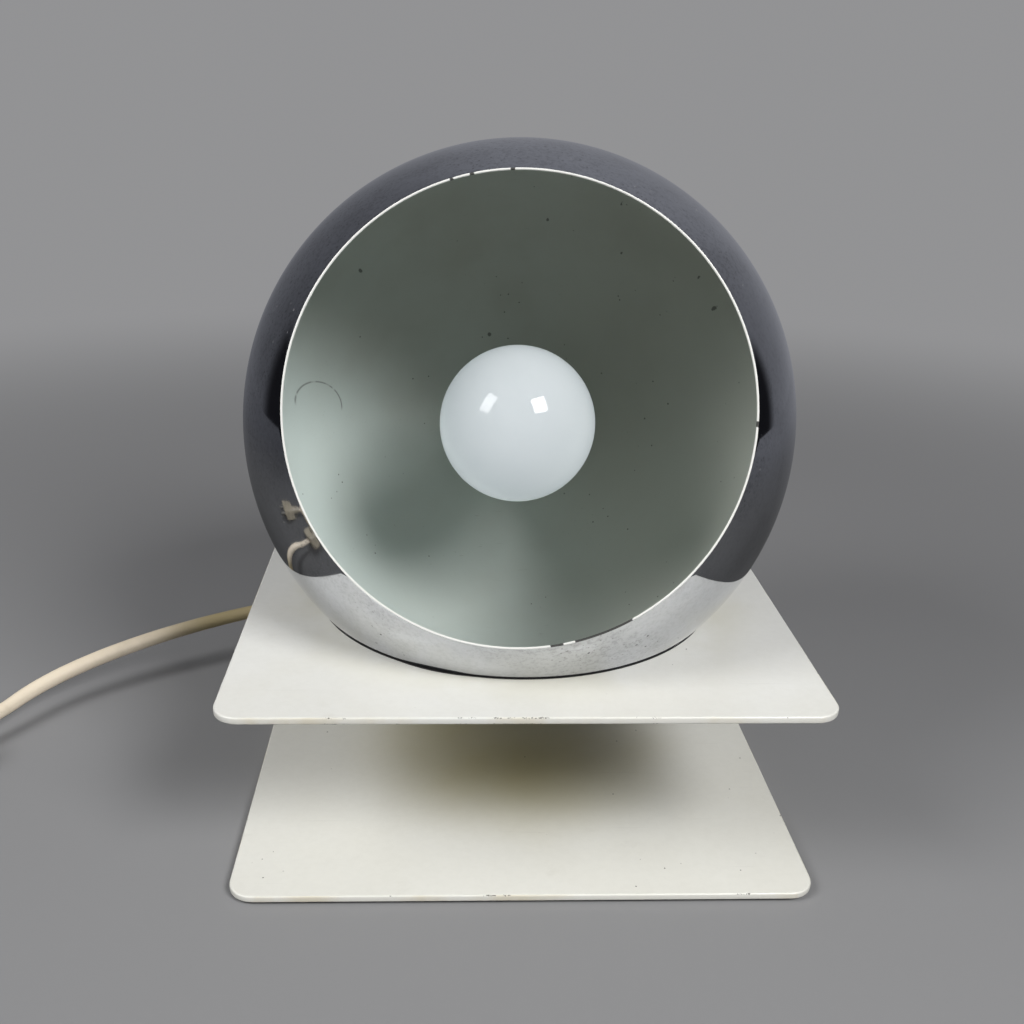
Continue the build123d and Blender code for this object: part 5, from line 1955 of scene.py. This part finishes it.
@dataclass
class Bulb:
    """The opal bulb, measured along the lamp's axis from the ball's centre."""

    tip: float = -0.069791
    globe: float = 0.0285
    length: float = 0.104
    wall: float = 0.0008
    neck: float = 0.0125
    neck_start: float = 0.001
    neck_end: float = 0.005
    leave: float = 112.0
    pull: float = 0.45
    crown_steps: int = 72
    shoulder_steps: int = 20
    glass_steps: int = 144
    glass_crease: float = 60.0
    cap_radius: float = 0.0132
    cap_sheet: float = 0.0004
    cap_front: float = -0.042791
    cap_back: float = -0.064291
    cap_plain: float = 0.005
    cap_rings: int = 66
    cap_wave: float = 0.00035
    cap_steps: int = 96
    cap_crease: float = 50.0

    def build(self, spindle: Spindle) -> None:
        """Make the glass, the threaded cap, the insulator and what is inside.

        Args:
            spindle: the lamp's axis.
        """
        profile = [*self._side(0.0), *reversed(self._side(self.wall))]
        glass = spindle.turned(profile, self.glass_steps)
        Shop.piece("bulb_opal", glass, OPAL, Part.BULB, ["bulb_glass"], self.glass_crease)
        self._cap(spindle)
        for node, finish, edge in (("bulb_insulator", BLACK_GLASS, 0.0002), ("bulb_tip", BULB_METAL, 0.0001),
                                   ("bulb_stem", STEM_GLASS, 0.0), ("bulb_filament", BULB_METAL, 0.0)):
            Shop.refined(node, finish, Part.BULB, edge)

    def _side(self, inset: float) -> list[Point]:
        """Draw the glass from its crown down to the neck.

        Args:
            inset: how much smaller it is all round.

        Returns:
            Half of its profile.
        """
        neck = self.neck - inset
        leave = math.radians(self.leave)
        center = self.tip + self.length - self.globe
        crown = arc((0, center), self.globe - inset, 0.0, leave, self.crown_steps)
        start, end = Vector(crown[-1]), Vector((neck, self.cap_front + self.neck_start))
        way = Vector((math.cos(leave), -math.sin(leave)))
        pull = (start - end).length * self.pull
        first, second = start + way * pull, end + Vector((0, pull))
        points = []
        for i in range(1, self.shoulder_steps + 1):
            t = i / self.shoulder_steps
            near = start * (1 - t) ** 3 + first * 3 * t * (1 - t) ** 2
            points.append(tuple(near + second * 3 * t**2 * (1 - t) + end * t**3))
        return [*crown, *points, (neck, self.cap_front - self.neck_end)]

    def _cap(self, spindle: Spindle) -> None:
        """Turn the bulb's thin cap with its rolled thread.

        Args:
            spindle: the lamp's axis.
        """
        span = self.cap_front - self.cap_back
        places = [self.cap_back + span * i / self.cap_rings for i in range(self.cap_rings + 1)]
        outside = [(self.cap_radius, along) for along in places]
        inside = [(self.cap_radius - self.cap_sheet, along) for along in reversed(places)]

        def roll(radius: float, along: float, angle: float) -> float:
            """The cap's radius: rolled behind, plain at the front."""
            plain = along > self.cap_front - self.cap_plain
            return radius - (0.0 if plain else self.cap_wave * (1 - thread_wave(along, angle)))

        mesh = spindle.turned([*outside, *inside], self.cap_steps, roll)
        Shop.piece("bulb_cap_rolled", mesh, BULB_METAL, Part.BULB, ["bulb_cap"], self.cap_crease)


@dataclass
class CordFittings:
    """The switch, the tie and the plug that lie on the cord."""

    pin_radius: float = 0.002
    pin_steps: int = 32
    tip_steps: int = 8
    on_run: list[bpy.types.Object] = field(default_factory=list)
    on_rest: list[bpy.types.Object] = field(default_factory=list)

    def build(self, repeater: Repeater) -> None:
        """Dress the pieces on the cord, and keep them by the stretch that they lie on.

        Args:
            repeater: what sets the plug's pins.
        """
        self.on_run = [Shop.refined(*row) for row in (
            ("switch_base", BEIGE_PLASTIC, Part.STAND, 0.0004),
            ("switch_cover", BEIGE_PLASTIC, Part.STAND, 0.0004),
            ("switch_rocker", DARK_PLASTIC, Part.ROCKER, 0.0005),
            ("switch_screws", ZINC, Part.STAND, 0.0002),
            ("switch_contacts", BRASS, Part.STAND, 0.0001))]
        self.on_rest = [Shop.refined(*row) for row in (
            ("coil_tie", TIE_PLASTIC, Part.STAND, 0.0001),
            ("plug_body", BEIGE_PLASTIC, Part.STAND, 0.0004))]
        self.on_rest.append(self._pins(repeater))

    def _pins(self, repeater: Repeater) -> bpy.types.Object:
        """Turn the plug's two round-ended pins, placed where the solid ones are.

        Args:
            repeater: what sets them.

        Returns:
            The pins.
        """
        radius = self.pin_radius
        way = CordRoute.heading(CordRoute.plug_heading)
        across = Vector((-way.y, way.x, 0.0))
        low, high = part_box("plug_pins")
        middle = (low + high) / 2
        spots = [v.co - middle for v in frame["nodes"]["plug_pins"].data.vertices]
        half, apart = max(s.dot(way) for s in spots), max(s.dot(across) for s in spots) - radius
        tip = 2 * half - radius
        dome = arc((0, 0), radius, 0.0, QUARTER_TURN, self.tip_steps)[:-1]
        profile = [(0, 0), (radius, 0), (radius, tip), *((r, tip + a) for r, a in reversed(dome))]
        pin = Spindle(ORIGIN, way, across).turned(profile, self.pin_steps)
        start = middle - way * half - across * apart
        return repeater.pair("plug_pins_turned", pin, start, across * 2 * apart, NICKEL, Part.STAND,
                             ["plug_pins"])


def main() -> None:
    """Build the lamp in order: camera, cords, then the pieces from the stand to the bulb."""
    logging.basicConfig(level=logging.INFO, format="%(name)s: %(message)s")
    Photographer().build()
    repeater = Repeater()
    fittings = CordFittings()
    fittings.build(repeater)
    CordRoute().build(fittings)
    Studio().build()
    Plates().build(repeater)
    shade = BallShade()
    shade.build(repeater)
    Lampholder().build(shade.spindle())
    Bulb().build(shade.spindle())


if __name__ == "__main__":
    main()
